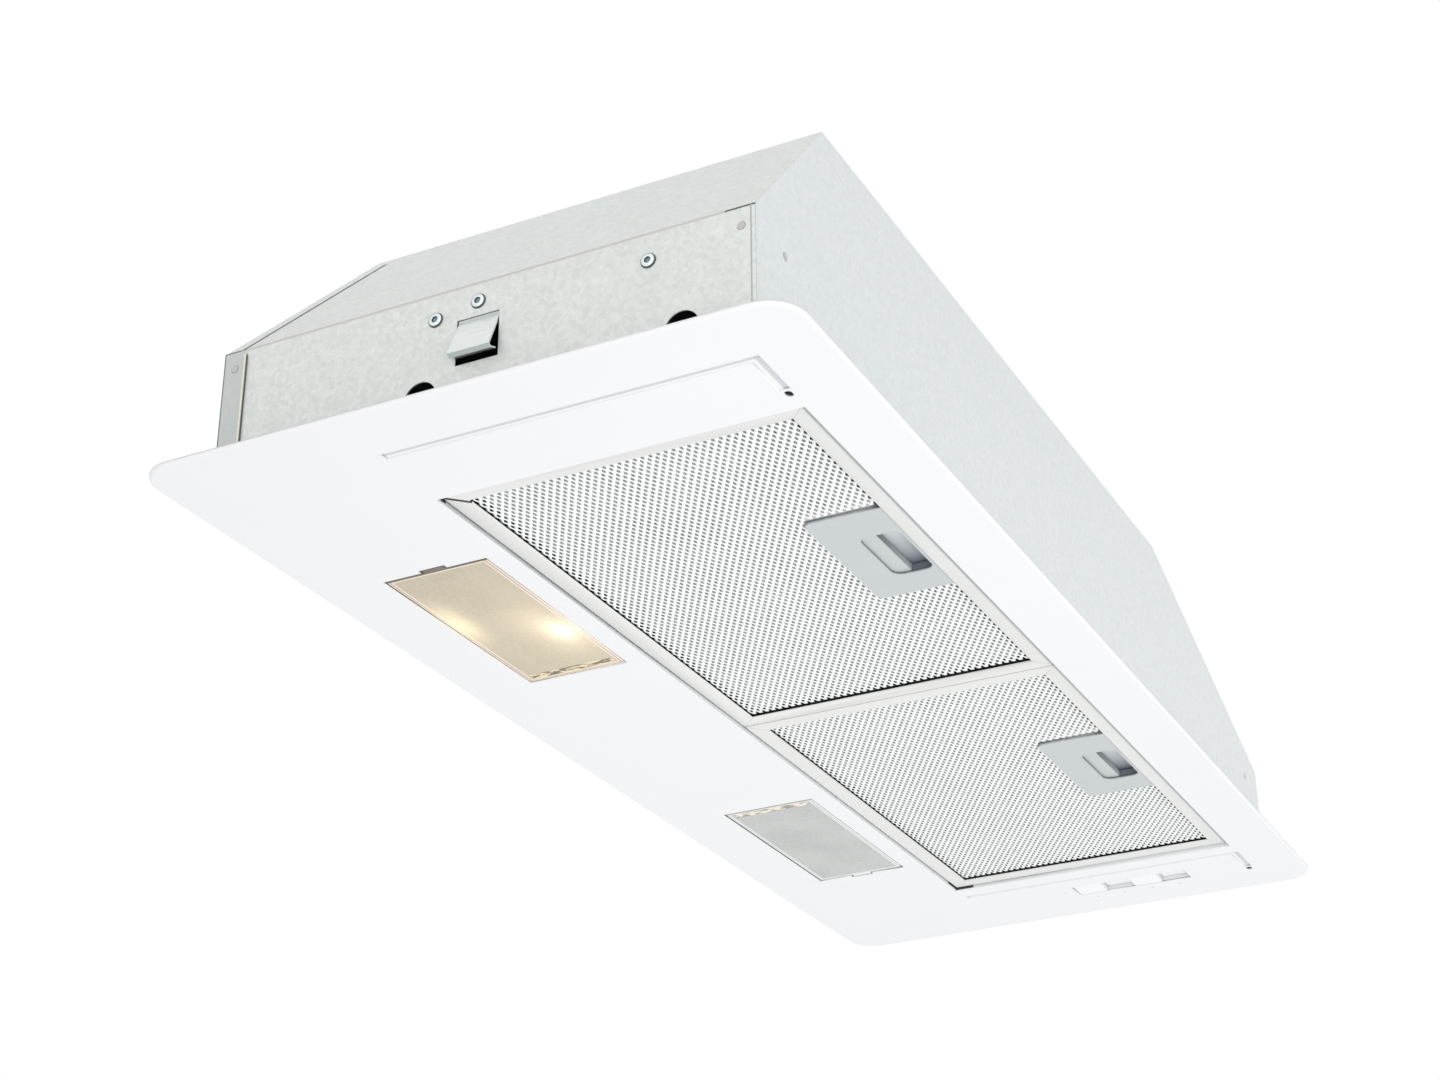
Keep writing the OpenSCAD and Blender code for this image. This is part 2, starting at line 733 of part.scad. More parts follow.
// One grease filter's frame about its own centre line, x = 0
module filter_frame() {
    bevel = 2;
    in_l = filter_l - 2 * bar_w;
    in_w = filter_w - 2 * bar_w;
    yc = (filter_y0 + filter_y1) / 2;
    difference() {
        translate([-filter_l / 2, filter_y0, filter_z]) cube([filter_l, filter_w, filter_h]);
        translate([-filter_l / 2 + frame_t, filter_y0 + frame_t, mesh_z])
            cube([filter_l - 2 * frame_t, filter_w - 2 * frame_t, filter_h - hem_t - frame_t]);
        translate([-in_l / 2, yc - in_w / 2, filter_z - eps]) cube([in_l, in_w, filter_h + 2 * eps]);
        hull() {
            translate([-in_l / 2 - bevel, yc - in_w / 2 - bevel, filter_z - 0.01])
                cube([in_l + 2 * bevel, in_w + 2 * bevel, 0.01]);
            translate([-in_l / 2, yc - in_w / 2, filter_z + bevel * 0.6]) cube([in_l, in_w, 0.01]);
        }
        for (s = [-1, 1])
            translate([latch_off + s * slide_x - bolt_w / 2 - move_gap, filter_y0 - eps, bolt_z - move_gap])
                cube([bolt_w + 2 * move_gap, frame_t + 2 * eps, bolt_h + 2 * move_gap]);
    }
    for (s = [-1, 1]) translate([s * filter_l * 0.32 - hook_w / 2, filter_y1 - frame_t, hook_z])
        cube([hook_w, hook_reach + frame_t, hook_t]);
}

module filter_frame_left() {
    color([0.86, 0.85, 0.83]) translate([-filter_x, 0, 0]) filter_frame();
}

module filter_frame_right() {
    color([0.86, 0.85, 0.83]) translate([filter_x, 0, 0]) filter_frame();
}

// The outer sheet of expanded mesh, cut out behind the latch plate
module filter_mesh() {
    edge = frame_t + 0.2;
    difference() {
        translate([-filter_l / 2 + edge, filter_y0 + edge, mesh_z])
            cube([filter_l - 2 * edge, filter_w - 2 * edge, mesh_t]);
        latch_cut(mesh_z - eps, mesh_t + 2 * eps);
    }
}

// The space that the latch takes out of the mesh and the core
module latch_cut(z, h) {
    translate([latch_off - latch_l / 2 + 0.8, filter_y0, z])
        cube([latch_l - 1.6, latch_y1 - 0.8 - filter_y0, h]);
}

module filter_mesh_left() {
    color([0.9, 0.9, 0.9]) translate([-filter_x, 0, 0]) filter_mesh();
}

module filter_mesh_right() {
    color([0.9, 0.9, 0.9]) translate([filter_x, 0, 0]) filter_mesh();
}

// The inner layers of mesh, as one pack
module filter_core() {
    edge = frame_t + 0.2;
    difference() {
        translate([-filter_l / 2 + edge, filter_y0 + edge, mesh_z + mesh_t])
            cube([filter_l - 2 * edge, filter_w - 2 * edge, filter_h - hem_t - mesh_t - frame_t]);
        latch_cut(mesh_z, filter_h);
    }
}

module filter_core_left() {
    color([0.72, 0.73, 0.73]) translate([-filter_x, 0, 0]) filter_core();
}

module filter_core_right() {
    color([0.72, 0.73, 0.73]) translate([filter_x, 0, 0]) filter_core();
}

// The grey latch plate with its finger window and the box behind it
module latch_plate() {
    yc = (latch_y0 + latch_y1) / 2;
    back_l = latch_l - 2;
    back_y1 = latch_y1 - 1;
    back_z = latch_z + latch_skin;
    window_yc = (finger_y0 + finger_y1) / 2;
    cavity_l = 2 * slide_x + bolt_w + 2 * move_gap;
    translate([latch_off, 0, 0]) difference() {
        union() {
            translate([0, yc, latch_z]) linear_extrude(latch_skin) {
                rounded_rect(latch_l, latch_w, 3);
                translate([-latch_l / 2, -latch_w / 2]) square([latch_l, latch_w / 2]);
            }
            translate([-back_l / 2, latch_y0 + 0.5, back_z])
                cube([back_l, back_y1 - latch_y0 - 0.5, latch_top - back_z]);
        }
        translate([finger_x, window_yc, latch_z - eps]) linear_extrude(latch_skin + 2 * eps)
            rounded_rect(finger_l, finger_w, finger_r);
        translate([-cavity_l / 2, latch_y0 - eps, back_z])
            cube([cavity_l, back_y1 - latch_wall - latch_y0 + eps, slide_h + 2 * move_gap]);
    }
}

module latch_plate_left() {
    color([0.78, 0.8, 0.83]) translate([-filter_x, 0, 0]) latch_plate();
}

module latch_plate_right() {
    color([0.78, 0.8, 0.83]) translate([filter_x, 0, 0]) latch_plate();
}

// The slide: the tongue that the finger draws back, two arms and two bolts
module latch_slide() {
    arm_y0 = latch_y0 + move_gap;
    translate([latch_off, 0, 0]) {
        translate([-slide_x - arm_w / 2, tongue_y0, slide_z])
            cube([2 * slide_x + arm_w, tongue_y1 - tongue_y0, slide_h]);
        for (s = [-1, 1]) translate([s * slide_x, 0, 0]) {
            translate([-arm_w / 2, arm_y0, slide_z]) cube([arm_w, tongue_y0 + eps - arm_y0, slide_h]);
            translate([-bolt_w / 2, bolt_y, bolt_z]) cube([bolt_w, arm_y0 + arm_w - bolt_y, bolt_h]);
        }
    }
}

module latch_slide_left() {
    color([0.74, 0.76, 0.8]) translate([-filter_x, 0, 0]) latch_slide();
}

module latch_slide_right() {
    color([0.74, 0.76, 0.8]) translate([filter_x, 0, 0]) latch_slide();
}

// The two springs that push the slide forwards
module latch_spring() {
    y1 = latch_y1 - 1 - latch_wall;
    for (s = [-1, 1])
        translate([latch_off + s * spring_x, tongue_y1, slide_z + slide_h / 2]) rotate([-90, 0, 0])
            difference() {
                cylinder(h = y1 - tongue_y1, r = spring_r);
                translate([0, 0, -eps]) cylinder(h = y1 - tongue_y1 + 2 * eps, r = spring_r - 0.5);
            }
}

module latch_spring_left() {
    color([0.6, 0.6, 0.62]) translate([-filter_x, 0, 0]) latch_spring();
}

module latch_spring_right() {
    color([0.6, 0.6, 0.62]) translate([filter_x, 0, 0]) latch_spring();
}

// The right lamp's sheet housing, open over the lamp cover
module lamp_housing() {
    y0 = lamp_y - lamp_box_w / 2;
    hook_x = cover_x0 - cover_hook_l - 1;
    difference() {
        translate([lamp_box_x0, y0, plate_t])
            cube([lamp_box_x1 - lamp_box_x0, lamp_box_w, lamp_box_h - plate_t]);
        translate([lamp_box_x0 + sheet_t, y0 + sheet_t, plate_t + sheet_t])
            cube([lamp_box_x1 - lamp_box_x0 - 2 * sheet_t, lamp_box_w - 2 * sheet_t,
                  lamp_box_h - plate_t - 2 * sheet_t]);
        translate([hook_x, y0 + sheet_t, plate_t - eps])
            cube([lamp_box_x1 - sheet_t - hook_x, lamp_box_w - 2 * sheet_t, sheet_t + 2 * eps]);
    }
}

module lamp_housing_right() {
    color([0.8, 0.8, 0.78]) lamp_housing();
}

module lamp_housing_left() {
    color([0.8, 0.8, 0.78]) mirror([1, 0, 0]) lamp_housing();
}

// The lamp socket, with its collar against the housing's inner end
module lamp_socket() {
    translate([socket_x, lamp_y, bulb_z]) rotate([0, 90, 0]) difference() {
        union() {
            cylinder(h = socket_l, r = socket_r - 2);
            cylinder(h = 4, r = socket_r);
            translate([0, 0, socket_l - 3]) cylinder(h = 3, r = socket_r);
        }
        translate([0, 0, socket_l - bulb_cap_l]) cylinder(h = bulb_cap_l + eps, r = bulb_cap_r + 0.1);
    }
}

module lamp_socket_right() {
    color([0.9, 0.89, 0.85]) lamp_socket();
}

module lamp_socket_left() {
    color([0.9, 0.89, 0.85]) mirror([1, 0, 0]) lamp_socket();
}

// The small screw-in bulb: a metal cap and a round-ended glass tube
module lamp_bulb() {
    neck = 8;
    translate([socket_x + socket_l - bulb_cap_l + 0.5, lamp_y, bulb_z]) rotate([0, 90, 0]) {
        cylinder(h = bulb_cap_l - 0.5, r = bulb_cap_r);
        translate([0, 0, bulb_cap_l - 0.5]) cylinder(h = neck, r1 = bulb_cap_r, r2 = bulb_r);
        translate([0, 0, bulb_cap_l - 0.5 + neck]) cylinder(h = bulb_l - neck - bulb_r, r = bulb_r);
        translate([0, 0, bulb_cap_l - 0.5 + bulb_l - bulb_r]) sphere(bulb_r);
    }
}

module lamp_bulb_right() {
    color([0.98, 0.93, 0.8]) lamp_bulb();
}

module lamp_bulb_left() {
    color([0.98, 0.93, 0.8]) mirror([1, 0, 0]) lamp_bulb();
}

// The frosted cover: lens, side walls, the finger tab and two hooks
module lamp_cover() {
    translate([lamp_x, lamp_y, cover_z]) difference() {
        linear_extrude(cover_wall_h) rounded_rect(cover_l, cover_w, 1.5);
        translate([0, 0, lens_t]) linear_extrude(cover_wall_h)
            rounded_rect(cover_l - 2 * cover_wall_t, cover_w - 2 * cover_wall_t, 0.6);
    }
    translate([cover_x1 - 0.5, lamp_y - cover_tab_w / 2, cover_z])
        cube([cover_tab_l + 0.5, cover_tab_w, 1.2]);
    for (s = [-1, 1]) translate([cover_x0 - cover_hook_l, lamp_y + s * cover_w * 0.3 - 3, plate_t + move_gap])
        cube([cover_hook_l + 0.6, 6, 1.2]);
}

module lamp_cover_right() {
    color([0.75, 0.76, 0.74, 0.8]) lamp_cover();
}

module lamp_cover_left() {
    color([0.85, 0.78, 0.62, 0.8]) mirror([1, 0, 0]) lamp_cover();
}

// Place of one button's centre along Y, counted from the rear
function button_place(i) = button_y + (1.5 - i) * button_pitch;

module switch_housing() {
    outer_w = window_w + 2 * switch_wall;
    outer_l = window_l + 2 * switch_wall;
    ear_w = 10;
    ear_l = 9;
    well = button_z + button_h + button_travel + 1;
    color([0.9, 0.91, 0.92]) translate([button_x, button_y, 0]) difference() {
        union() {
            translate([-outer_w / 2, -outer_l / 2, plate_t]) cube([outer_w, outer_l, switch_h - plate_t]);
            for (s = [-1, 1]) translate([-ear_w / 2, s * (window_l / 2 + switch_ear) - ear_l / 2, plate_t])
                cube([ear_w, ear_l, 3]);
        }
        translate([-window_w / 2, -window_l / 2, plate_t - eps])
            cube([window_w, window_l, well - plate_t + eps]);
        for (i = [0:3]) translate([0, button_place(i) - button_y, well - eps])
            cylinder(h = stem_l + 2, r = stem_r + run_clear);
    }
}

// One push button, drawn in when it is pressed
module push_button(i) {
    lift = pressed[i] ? button_travel : 0;
    translate([button_x, button_place(i), button_z + lift]) {
        translate([-button_w / 2, -button_len / 2, 0]) cube([button_w, button_len, button_h]);
        translate([0, 0, button_h - 0.5]) cylinder(h = stem_l, r = stem_r);
    }
}

module button_1() {
    color([0.96, 0.96, 0.97]) push_button(0);
}

module button_2() {
    color([0.96, 0.96, 0.97]) push_button(1);
}

module button_3() {
    color([0.96, 0.96, 0.97]) push_button(2);
}

module button_4() {
    color([0.96, 0.96, 0.97]) push_button(3);
}

// Radius of the scroll's inside at an angle from +Y
function scroll_r(a) = scroll_r0 + scroll_grow * (a - tongue_a) / scroll_a;
function scroll_point(a, grow) = [(scroll_r(a) + grow) * cos(a), (scroll_r(a) + grow) * sin(a)];

// The scroll's section, grown outwards by a wall
module scroll_section(grow, top) {
    polygon(concat([[throat_y0 - grow, top]],
                   [for (a = [tongue_a:10:360]) scroll_point(a, grow)],
                   [[scroll_r1 + grow, top]]));
}

// Half of the scroll, from its middle plane out to the side plate
module scroll_half() {
    half = scroll_w / 2;
    top = under_top - axis_z;
    difference() {
        union() {
            yz_bar(0, half) scroll_section(scroll_t, top);
            translate([0, outlet_y - axis_y - blower_flange / 2, top - blower_flange_t])
                cube([blower_flange / 2, blower_flange, blower_flange_t]);
            translate([half, 0, 0]) rotate([0, 90, 0]) cylinder(h = 1.5, r = inlet_r + 2);
        }
        yz_bar(-eps, half - scroll_t + eps) scroll_section(0, top + eps);
        translate([-eps, 0, 0]) rotate([0, 90, 0]) cylinder(h = half + 4, r = inlet_r);
    }
}

// The screw holes in the blower, cut where the collar and the motor's bracket are held
module blower_holes() {
    collar_screw_places() translate([0, 0, under_top - 6]) cylinder(h = 8, r = screw_r);
    for (a = pad_angles) translate([side_x - eps, axis_y, axis_z]) rotate([a, 0, 0])
        translate([0, pad_place, 0]) rotate([0, 90, 0]) cylinder(h = scroll_t + 2 * eps, r = screw_r);
}

module scroll_right_half() {
    color([0.16, 0.16, 0.17]) difference() {
        translate([outlet_x, axis_y, axis_z]) scroll_half();
        blower_holes();
    }
}

module scroll_left_half() {
    color([0.18, 0.18, 0.19]) difference() {
        translate([outlet_x, axis_y, axis_z]) mirror([1, 0, 0]) scroll_half();
        blower_holes();
    }
}

// One forward-curved blade's outline
module blade() {
    in_r = impeller_r - blade_d;
    steps = 4;
    sweep = 14;
    t = 0.6;
    function at(k, side) = let (f = k / steps, r = in_r + 0.5 + (blade_d - 1) * f, a = sweep * f * f)
        [r * cos(a) - side * t * sin(a), r * sin(a) + side * t * cos(a)];
    polygon(concat([for (k = [0:steps]) at(k, -0.5)], [for (k = [steps:-1:0]) at(k, 0.5)]));
}

// The impeller's middle disc with its hub
module impeller_disc() {
    color([0.3, 0.31, 0.33]) translate([outlet_x, axis_y, axis_z]) {
        yz_bar(-disc_t / 2, disc_t) difference() {
            circle(impeller_r);
            circle(shaft_r);
        }
        yz_bar(0, hub_l) difference() {
            circle(hub_r);
            circle(shaft_r);
        }
    }
}

// The blades on the right of the disc, joined by their end ring
module impeller_vanes() {
    yz_bar(disc_t / 2, (impeller_w - disc_t) / 2) for (i = [0:blade_count - 1])
        rotate(i * 360 / blade_count) blade();
    yz_bar(impeller_w / 2 - vane_ring_w, vane_ring_w) difference() {
        circle(impeller_r);
        circle(impeller_r - blade_d);
    }
}

module impeller_vanes_left() {
    color([0.33, 0.34, 0.36]) translate([outlet_x, axis_y, axis_z]) mirror([1, 0, 0]) impeller_vanes();
}

module impeller_vanes_right() {
    color([0.33, 0.34, 0.36]) translate([outlet_x, axis_y, axis_z]) impeller_vanes();
}

// The shaft runs from inside the motor through the impeller's hub
module rotor_shaft() {
    nut_l = 5;
    color([0.75, 0.76, 0.78]) translate([0, axis_y, axis_z]) {
        yz_bar(motor_x + 6, outlet_x + hub_l + 6 - motor_x - 6) circle(shaft_r);
        yz_bar(outlet_x + hub_l, nut_l) circle(shaft_r + 3, $fn = 6);
    }
}

module motor_body() {
    color([0.45, 0.46, 0.48]) translate([motor_x - 1.5, axis_y, axis_z]) difference() {
        union() {
            yz_bar(1.5, motor_l) circle(motor_r - 0.3);
            yz_bar(0, 1.5) circle(motor_r + 3);
            yz_bar(motor_l + 1.5, 2) circle(shaft_r + 6);
        }
        yz_bar(5, motor_l + 6) circle(shaft_r + run_clear);
    }
}

// The three-armed bracket that hangs the motor in the left inlet
module motor_bracket() {
    color([0.66, 0.67, 0.68]) translate([motor_x, axis_y, axis_z]) yz_bar(0, bracket_t) difference() {
        union() {
            circle(motor_r + 6);
            for (a = pad_angles) rotate(a) {
                translate([0, -pad_r]) square([pad_place, 2 * pad_r]);
                translate([pad_place, 0]) circle(pad_r);
            }
        }
        circle(motor_r);
        for (a = pad_angles) rotate(a) translate([pad_place, 0]) circle(screw_r);
    }
}

module motor_grommets() {
    color([0.1, 0.1, 0.1]) for (a = pad_angles)
        translate([motor_x + bracket_t, axis_y, axis_z]) rotate([a, 0, 0]) translate([0, pad_place, 0])
            yz_bar(0, grommet_t) difference() {
                circle(pad_r - 1);
                circle(screw_r);
            }
}

module outlet_collar() {
    in_r = collar_r - collar_t;
    ledge_z = flap_pin_z - flap_t / 2 - move_gap - 1.5;
    lug_l = 5;
    lug_w = 2 * flap_pin_r + 3;
    color([0.13, 0.13, 0.14]) translate([outlet_x, outlet_y, body_h]) difference() {
        union() {
            cylinder(h = collar_h, r = collar_r);
            cylinder(h = collar_flange_t, r = collar_flange_r);
        }
        difference() {
            translate([0, 0, -eps]) cylinder(h = collar_h + 2 * eps, r = in_r);
            translate([0, 0, ledge_z]) difference() {
                cylinder(h = 1.5, r = collar_r);
                translate([0, 0, -eps]) cylinder(h = 2 + 2 * eps, r = in_r - 5);
            }
            for (s = [-1, 1]) translate([s * (in_r - lug_l / 2 + 0.5), 0, flap_pin_z])
                cube([lug_l + 1, lug_w, lug_w], center = true);
        }
        translate([-in_r - 0.5, 0, flap_pin_z]) rotate([0, 90, 0])
            cylinder(h = 2 * in_r + 1, r = flap_pin_r + 0.02);
        for (a = [45:90:315]) rotate(a) translate([collar_screw_r, 0, -eps])
            cylinder(h = collar_flange_t + 2 * eps, r = screw_r);
    }
}

module damper_pin() {
    color([0.75, 0.76, 0.78]) translate([outlet_x, outlet_y, flap_z])
        yz_bar(-collar_r + collar_t, 2 * (collar_r - collar_t)) circle(flap_pin_r);
}

// A half-round flap on the pin's +Y side, with knuckles at a distance from the middle
module damper_flap(knuckle_x) {
    difference() {
        union() {
            translate([0, 0, -flap_t / 2]) linear_extrude(flap_t) intersection() {
                circle(flap_r);
                translate([-flap_r, flap_in]) square([2 * flap_r, flap_r]);
            }
            for (s = [-1, 1]) translate([s * knuckle_x, 0, 0]) {
                yz_bar(-knuckle_l / 2, knuckle_l) circle(knuckle_r);
                translate([-knuckle_l / 2, 0, -flap_t / 2]) cube([knuckle_l, flap_in + 1, flap_t]);
            }
        }
        yz_bar(-flap_r, 2 * flap_r) circle(flap_pin_r + run_clear);
    }
}

module damper_flap_rear() {
    color([0.2, 0.2, 0.21]) translate([outlet_x, outlet_y, flap_z]) damper_flap(rear_knuckle_x);
}

module damper_flap_front() {
    color([0.2, 0.2, 0.21]) translate([outlet_x, outlet_y, flap_z]) rotate(180) damper_flap(front_knuckle_x);
}

// The run capacitor lies along the front wall, held by its clamp
cap_y = -body_y + sheet_t + cap_r + 3;
cap_z = wall_h - cap_r - 3;

module run_capacitor() {
    color([0.86, 0.86, 0.88]) translate([cap_x - cap_l / 2, cap_y, cap_z]) {
        yz_bar(0, cap_l) circle(cap_r);
        for (s = [-1, 1]) translate([0, s * cap_r * 0.4, 0])
            yz_bar(cap_l - 0.5, 7) square([4, 1], center = true);
    }
}

module capacitor_clamp() {
    band = 1;
    w = 14;
    color([0.7, 0.72, 0.73]) translate([cap_x - w / 2, cap_y, cap_z]) difference() {
        union() {
            yz_bar(0, w) circle(cap_r + band);
            translate([0, -cap_r - 3, -cap_r * 0.8]) cube([w, 6, cap_r * 1.6]);
        }
        yz_bar(-eps, w + 2 * eps) circle(cap_r);
    }
}

module terminal_box() {
    color([0.88, 0.88, 0.86]) difference() {
        translate([box_x - box_l / 2, box_y - box_w / 2, under_top - box_h]) cube([box_l, box_w, box_h]);
        translate([box_x - box_l / 2 + box_t, box_y - box_w / 2 + box_t, under_top - box_h - eps])
            cube([box_l - 2 * box_t, box_w - 2 * box_t, box_h - box_t + eps]);
        translate([gland_x, gland_y, under_top - box_t - eps]) cylinder(h = box_t + 2 * eps, r = gland_r);
        box_screw_places() translate([0, 0, under_top - box_t - eps])
            cylinder(h = box_t + 2 * eps, r = screw_r);
    }
}

module terminal_box_lid() {
    color([0.84, 0.84, 0.82]) difference() {
        translate([box_x - box_l / 2 - 1, box_y - box_w / 2 - 1, under_top - box_h - box_t])
            cube([box_l + 2, box_w + 2, box_t]);
        translate([box_x - box_l / 2 + 12, box_y, under_top - box_h - box_t - eps])
            cylinder(h = box_t + 2 * eps, r = 5);
    }
}

module cable_gland() {
    color([0.15, 0.15, 0.16]) translate([gland_x, gland_y, under_top - box_t - 7]) difference() {
        union() {
            cylinder(h = 7 + box_t + sheet_t, r = gland_r - 0.05);
            translate([0, 0, 7 + box_t + sheet_t]) cylinder(h = 5, r = gland_r + 3, $fn = 6);
            translate([0, 0, 12 + box_t + sheet_t]) cylinder(h = 6, r1 = gland_r + 1, r2 = gland_r - 1);
        }
        translate([0, 0, -eps]) cylinder(h = 20 + box_t + sheet_t, r = gland_bore_r);
    }
}

module gland_nut() {
    color([0.17, 0.17, 0.18]) translate([gland_x, gland_y, under_top - box_t - 4]) difference() {
        cylinder(h = 4, r = gland_r + 3, $fn = 6);
        translate([0, 0, -eps]) cylinder(h = 4 + 2 * eps, r = gland_r);
    }
}

face_plate();
front_panel();
rear_panel();
left_end_wall();
right_end_wall();
left_slope_panel();
right_slope_panel();
top_panel();
body_screws();
wall_rivets();
plate_nuts();
clip_plate_left();
clip_plate_right();
clip_tongue_left();
clip_tongue_right();
filter_frame_left();
filter_frame_right();
filter_mesh_left();
filter_mesh_right();
filter_core_left();
filter_core_right();
latch_plate_left();
latch_plate_right();
latch_slide_left();
latch_slide_right();
latch_spring_left();
latch_spring_right();
lamp_housing_left();
lamp_housing_right();
lamp_socket_left();
lamp_socket_right();
lamp_bulb_left();
lamp_bulb_right();
lamp_cover_left();
lamp_cover_right();
switch_housing();
button_1();
button_2();
button_3();
button_4();
scroll_left_half();
scroll_right_half();
impeller_disc();
impeller_vanes_left();
impeller_vanes_right();
rotor_shaft();
motor_body();
motor_bracket();
motor_grommets();
outlet_collar();
damper_pin();
damper_flap_front();
damper_flap_rear();
run_capacitor();
capacitor_clamp();
terminal_box();
terminal_box_lid();
cable_gland();
gland_nut();
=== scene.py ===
# %% [markdown]
# # A built-in range hood, dressed part by part
# The hood is a shallow galvanised box that hides in a kitchen cupboard. The cook sees only its white face
# plate, with two grease filters, two lamps and a row of push buttons. The construction comes from CAD as a
# fixed frame, and nothing here moves a CAD part. This lesson gives every part its finish, and stands finer
# meshes in for the parts whose looks need more than a plain solid holds. All lengths are in metres, so a
# size in millimetres is written as a number times MM.

# %% Load the fixed frame
import json
import math

import bmesh
import bpy
from mathutils import Matrix, Vector

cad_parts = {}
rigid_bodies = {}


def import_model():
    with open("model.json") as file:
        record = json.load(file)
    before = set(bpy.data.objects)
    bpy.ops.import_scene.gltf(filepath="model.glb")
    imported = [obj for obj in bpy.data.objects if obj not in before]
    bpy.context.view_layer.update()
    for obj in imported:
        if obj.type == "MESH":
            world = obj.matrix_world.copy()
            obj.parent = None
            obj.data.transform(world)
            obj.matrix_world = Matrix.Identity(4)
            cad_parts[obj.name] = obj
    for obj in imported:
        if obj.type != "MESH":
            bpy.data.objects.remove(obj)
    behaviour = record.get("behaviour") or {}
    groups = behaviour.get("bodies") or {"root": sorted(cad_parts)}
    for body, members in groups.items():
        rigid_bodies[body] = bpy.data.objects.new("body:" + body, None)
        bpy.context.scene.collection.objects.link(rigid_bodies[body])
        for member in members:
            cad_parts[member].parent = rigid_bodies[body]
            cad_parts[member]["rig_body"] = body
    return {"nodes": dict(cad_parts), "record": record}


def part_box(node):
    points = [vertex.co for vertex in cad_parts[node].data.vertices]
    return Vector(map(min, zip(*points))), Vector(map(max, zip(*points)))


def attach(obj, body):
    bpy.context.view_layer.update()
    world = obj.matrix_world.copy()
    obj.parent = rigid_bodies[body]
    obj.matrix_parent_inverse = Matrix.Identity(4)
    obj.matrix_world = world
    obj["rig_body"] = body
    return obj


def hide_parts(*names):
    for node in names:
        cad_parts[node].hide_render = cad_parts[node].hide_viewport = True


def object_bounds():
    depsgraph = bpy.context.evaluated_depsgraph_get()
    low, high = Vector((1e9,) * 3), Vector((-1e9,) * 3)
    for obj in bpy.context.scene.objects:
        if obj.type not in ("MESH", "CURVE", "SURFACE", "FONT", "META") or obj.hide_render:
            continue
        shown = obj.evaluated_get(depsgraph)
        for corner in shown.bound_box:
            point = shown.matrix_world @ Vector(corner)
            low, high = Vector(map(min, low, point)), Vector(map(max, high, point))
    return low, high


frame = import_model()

MM = 0.001
cad_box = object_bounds()
scene = bpy.context.scene
slot_of = {part["node"]: part["material_slot"] for part in frame["record"]["subparts"]}
body_of = {node: thing["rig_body"] for node, thing in frame["nodes"].items()}
print("CAD nodes:", len(slot_of), "on bodies:", len(set(body_of.values())))

# %% [markdown]
# ## The camera
# The photograph looks up at the hood from below its left front corner. A camera's direction could be given
# by a target object, but a bearing, a pitch and a roll are three plain numbers that can be read and changed.
# The picture was cropped off centre, so the lens is shifted by the little that the framing needs.

# %% The camera


def linked(name, data):
    """A new object in the scene with the given data."""
    thing = bpy.data.objects.new(name, data)
    scene.collection.objects.link(thing)
    return thing


camera_place = Vector((-1021.3, -455.8, -468.0)) * MM
bearing = math.radians(64.86)
pitch = math.radians(27.21)
roll = math.radians(-1.13)
aim = Vector((math.sin(bearing) * math.cos(pitch), math.cos(bearing) * math.cos(pitch), math.sin(pitch)))
camera = linked("camera", bpy.data.cameras.new("camera"))
camera.data.sensor_width = 36
camera.data.lens = 62.44
camera.data.shift_x = -0.0465
camera.data.shift_y = -0.0155
turn = aim.to_track_quat("-Z", "Y").to_matrix() @ Matrix.Rotation(roll, 3, "Z")
camera.matrix_world = Matrix.Translation(camera_place) @ turn.to_4x4()
scene.camera = camera
scene.view_settings.view_transform = "Standard"
print("camera looks along", [round(a, 3) for a in aim])

# %% [markdown]
# ## Small helpers for node trees
# The studio, the finishes and the grown parts are all trees of nodes. Written out in full, each node takes
# four or five lines, so these helpers make a node with its settings and links in one call. A term is either
# a socket, which gets linked, or a plain value, which is set.

# %% Node helpers


def add_node(tree, kind, links=(), **settings):
    """A new node; settings that name a socket set it, others set the node, and links feed its sockets."""
    node = tree.nodes.new(kind)
    for key, value in settings.items():
        if hasattr(node, key):
            setattr(node, key, value)
        else:
            node.inputs[key.replace("_", " ").title()].default_value = value
    for source, target in links:
        tree.links.new(source, node.inputs[target])
    return node


def feed(tree, socket, term):
    """Links a term that is a socket, and sets one that is a plain value."""
    if hasattr(term, "links"):
        tree.links.new(term, socket)
    else:
        socket.default_value = term


def calc(tree, operation, *terms, kind="ShaderNodeMath", out=0):
    """The result of one math node."""
    node = tree.nodes.new(kind)
    node.operation = operation
    for socket, term in zip(node.inputs, terms):
        feed(tree, socket, term)
    return node.outputs[out]


def vector_calc(tree, operation, *terms, out=0):
    """The result of one vector math node."""
    return calc(tree, operation, *terms, kind="ShaderNodeVectorMath", out=out)


def split(tree, vector):
    """A vector socket's X, Y and Z, by name."""
    return add_node(tree, "ShaderNodeSeparateXYZ", links=[(vector, 0)]).outputs


def here(tree):
    """The place on the surface, in metres in the hood's own frame."""
    return add_node(tree, "ShaderNodeTexCoord").outputs["Object"]


def ranged(tree, source, low, high, start=0.0, end=1.0):
    """Maps a socket that runs from start to end onto low to high."""
    node = add_node(tree, "ShaderNodeMapRange", links=[(source, "Value")])
    for label, value in zip(("From Min", "From Max", "To Min", "To Max"), (start, end, low, high)):
        node.inputs[label].default_value = value
    return node.outputs["Result"]


# %% [markdown]
# ## White studio, pale floor
# The photograph's background is plain white. A white world would also flood the object with light, so Light
# Path splits it: what the camera, a reflection or clear plastic sees is white at strength 1, while the light
# that reaches the object is set apart from it. The floor lies well below the hood, so that the filters can
# swing down. Its back face lets everything through, because the camera looks up from under the hood, and
# it fades out with distance, so no horizon shows.

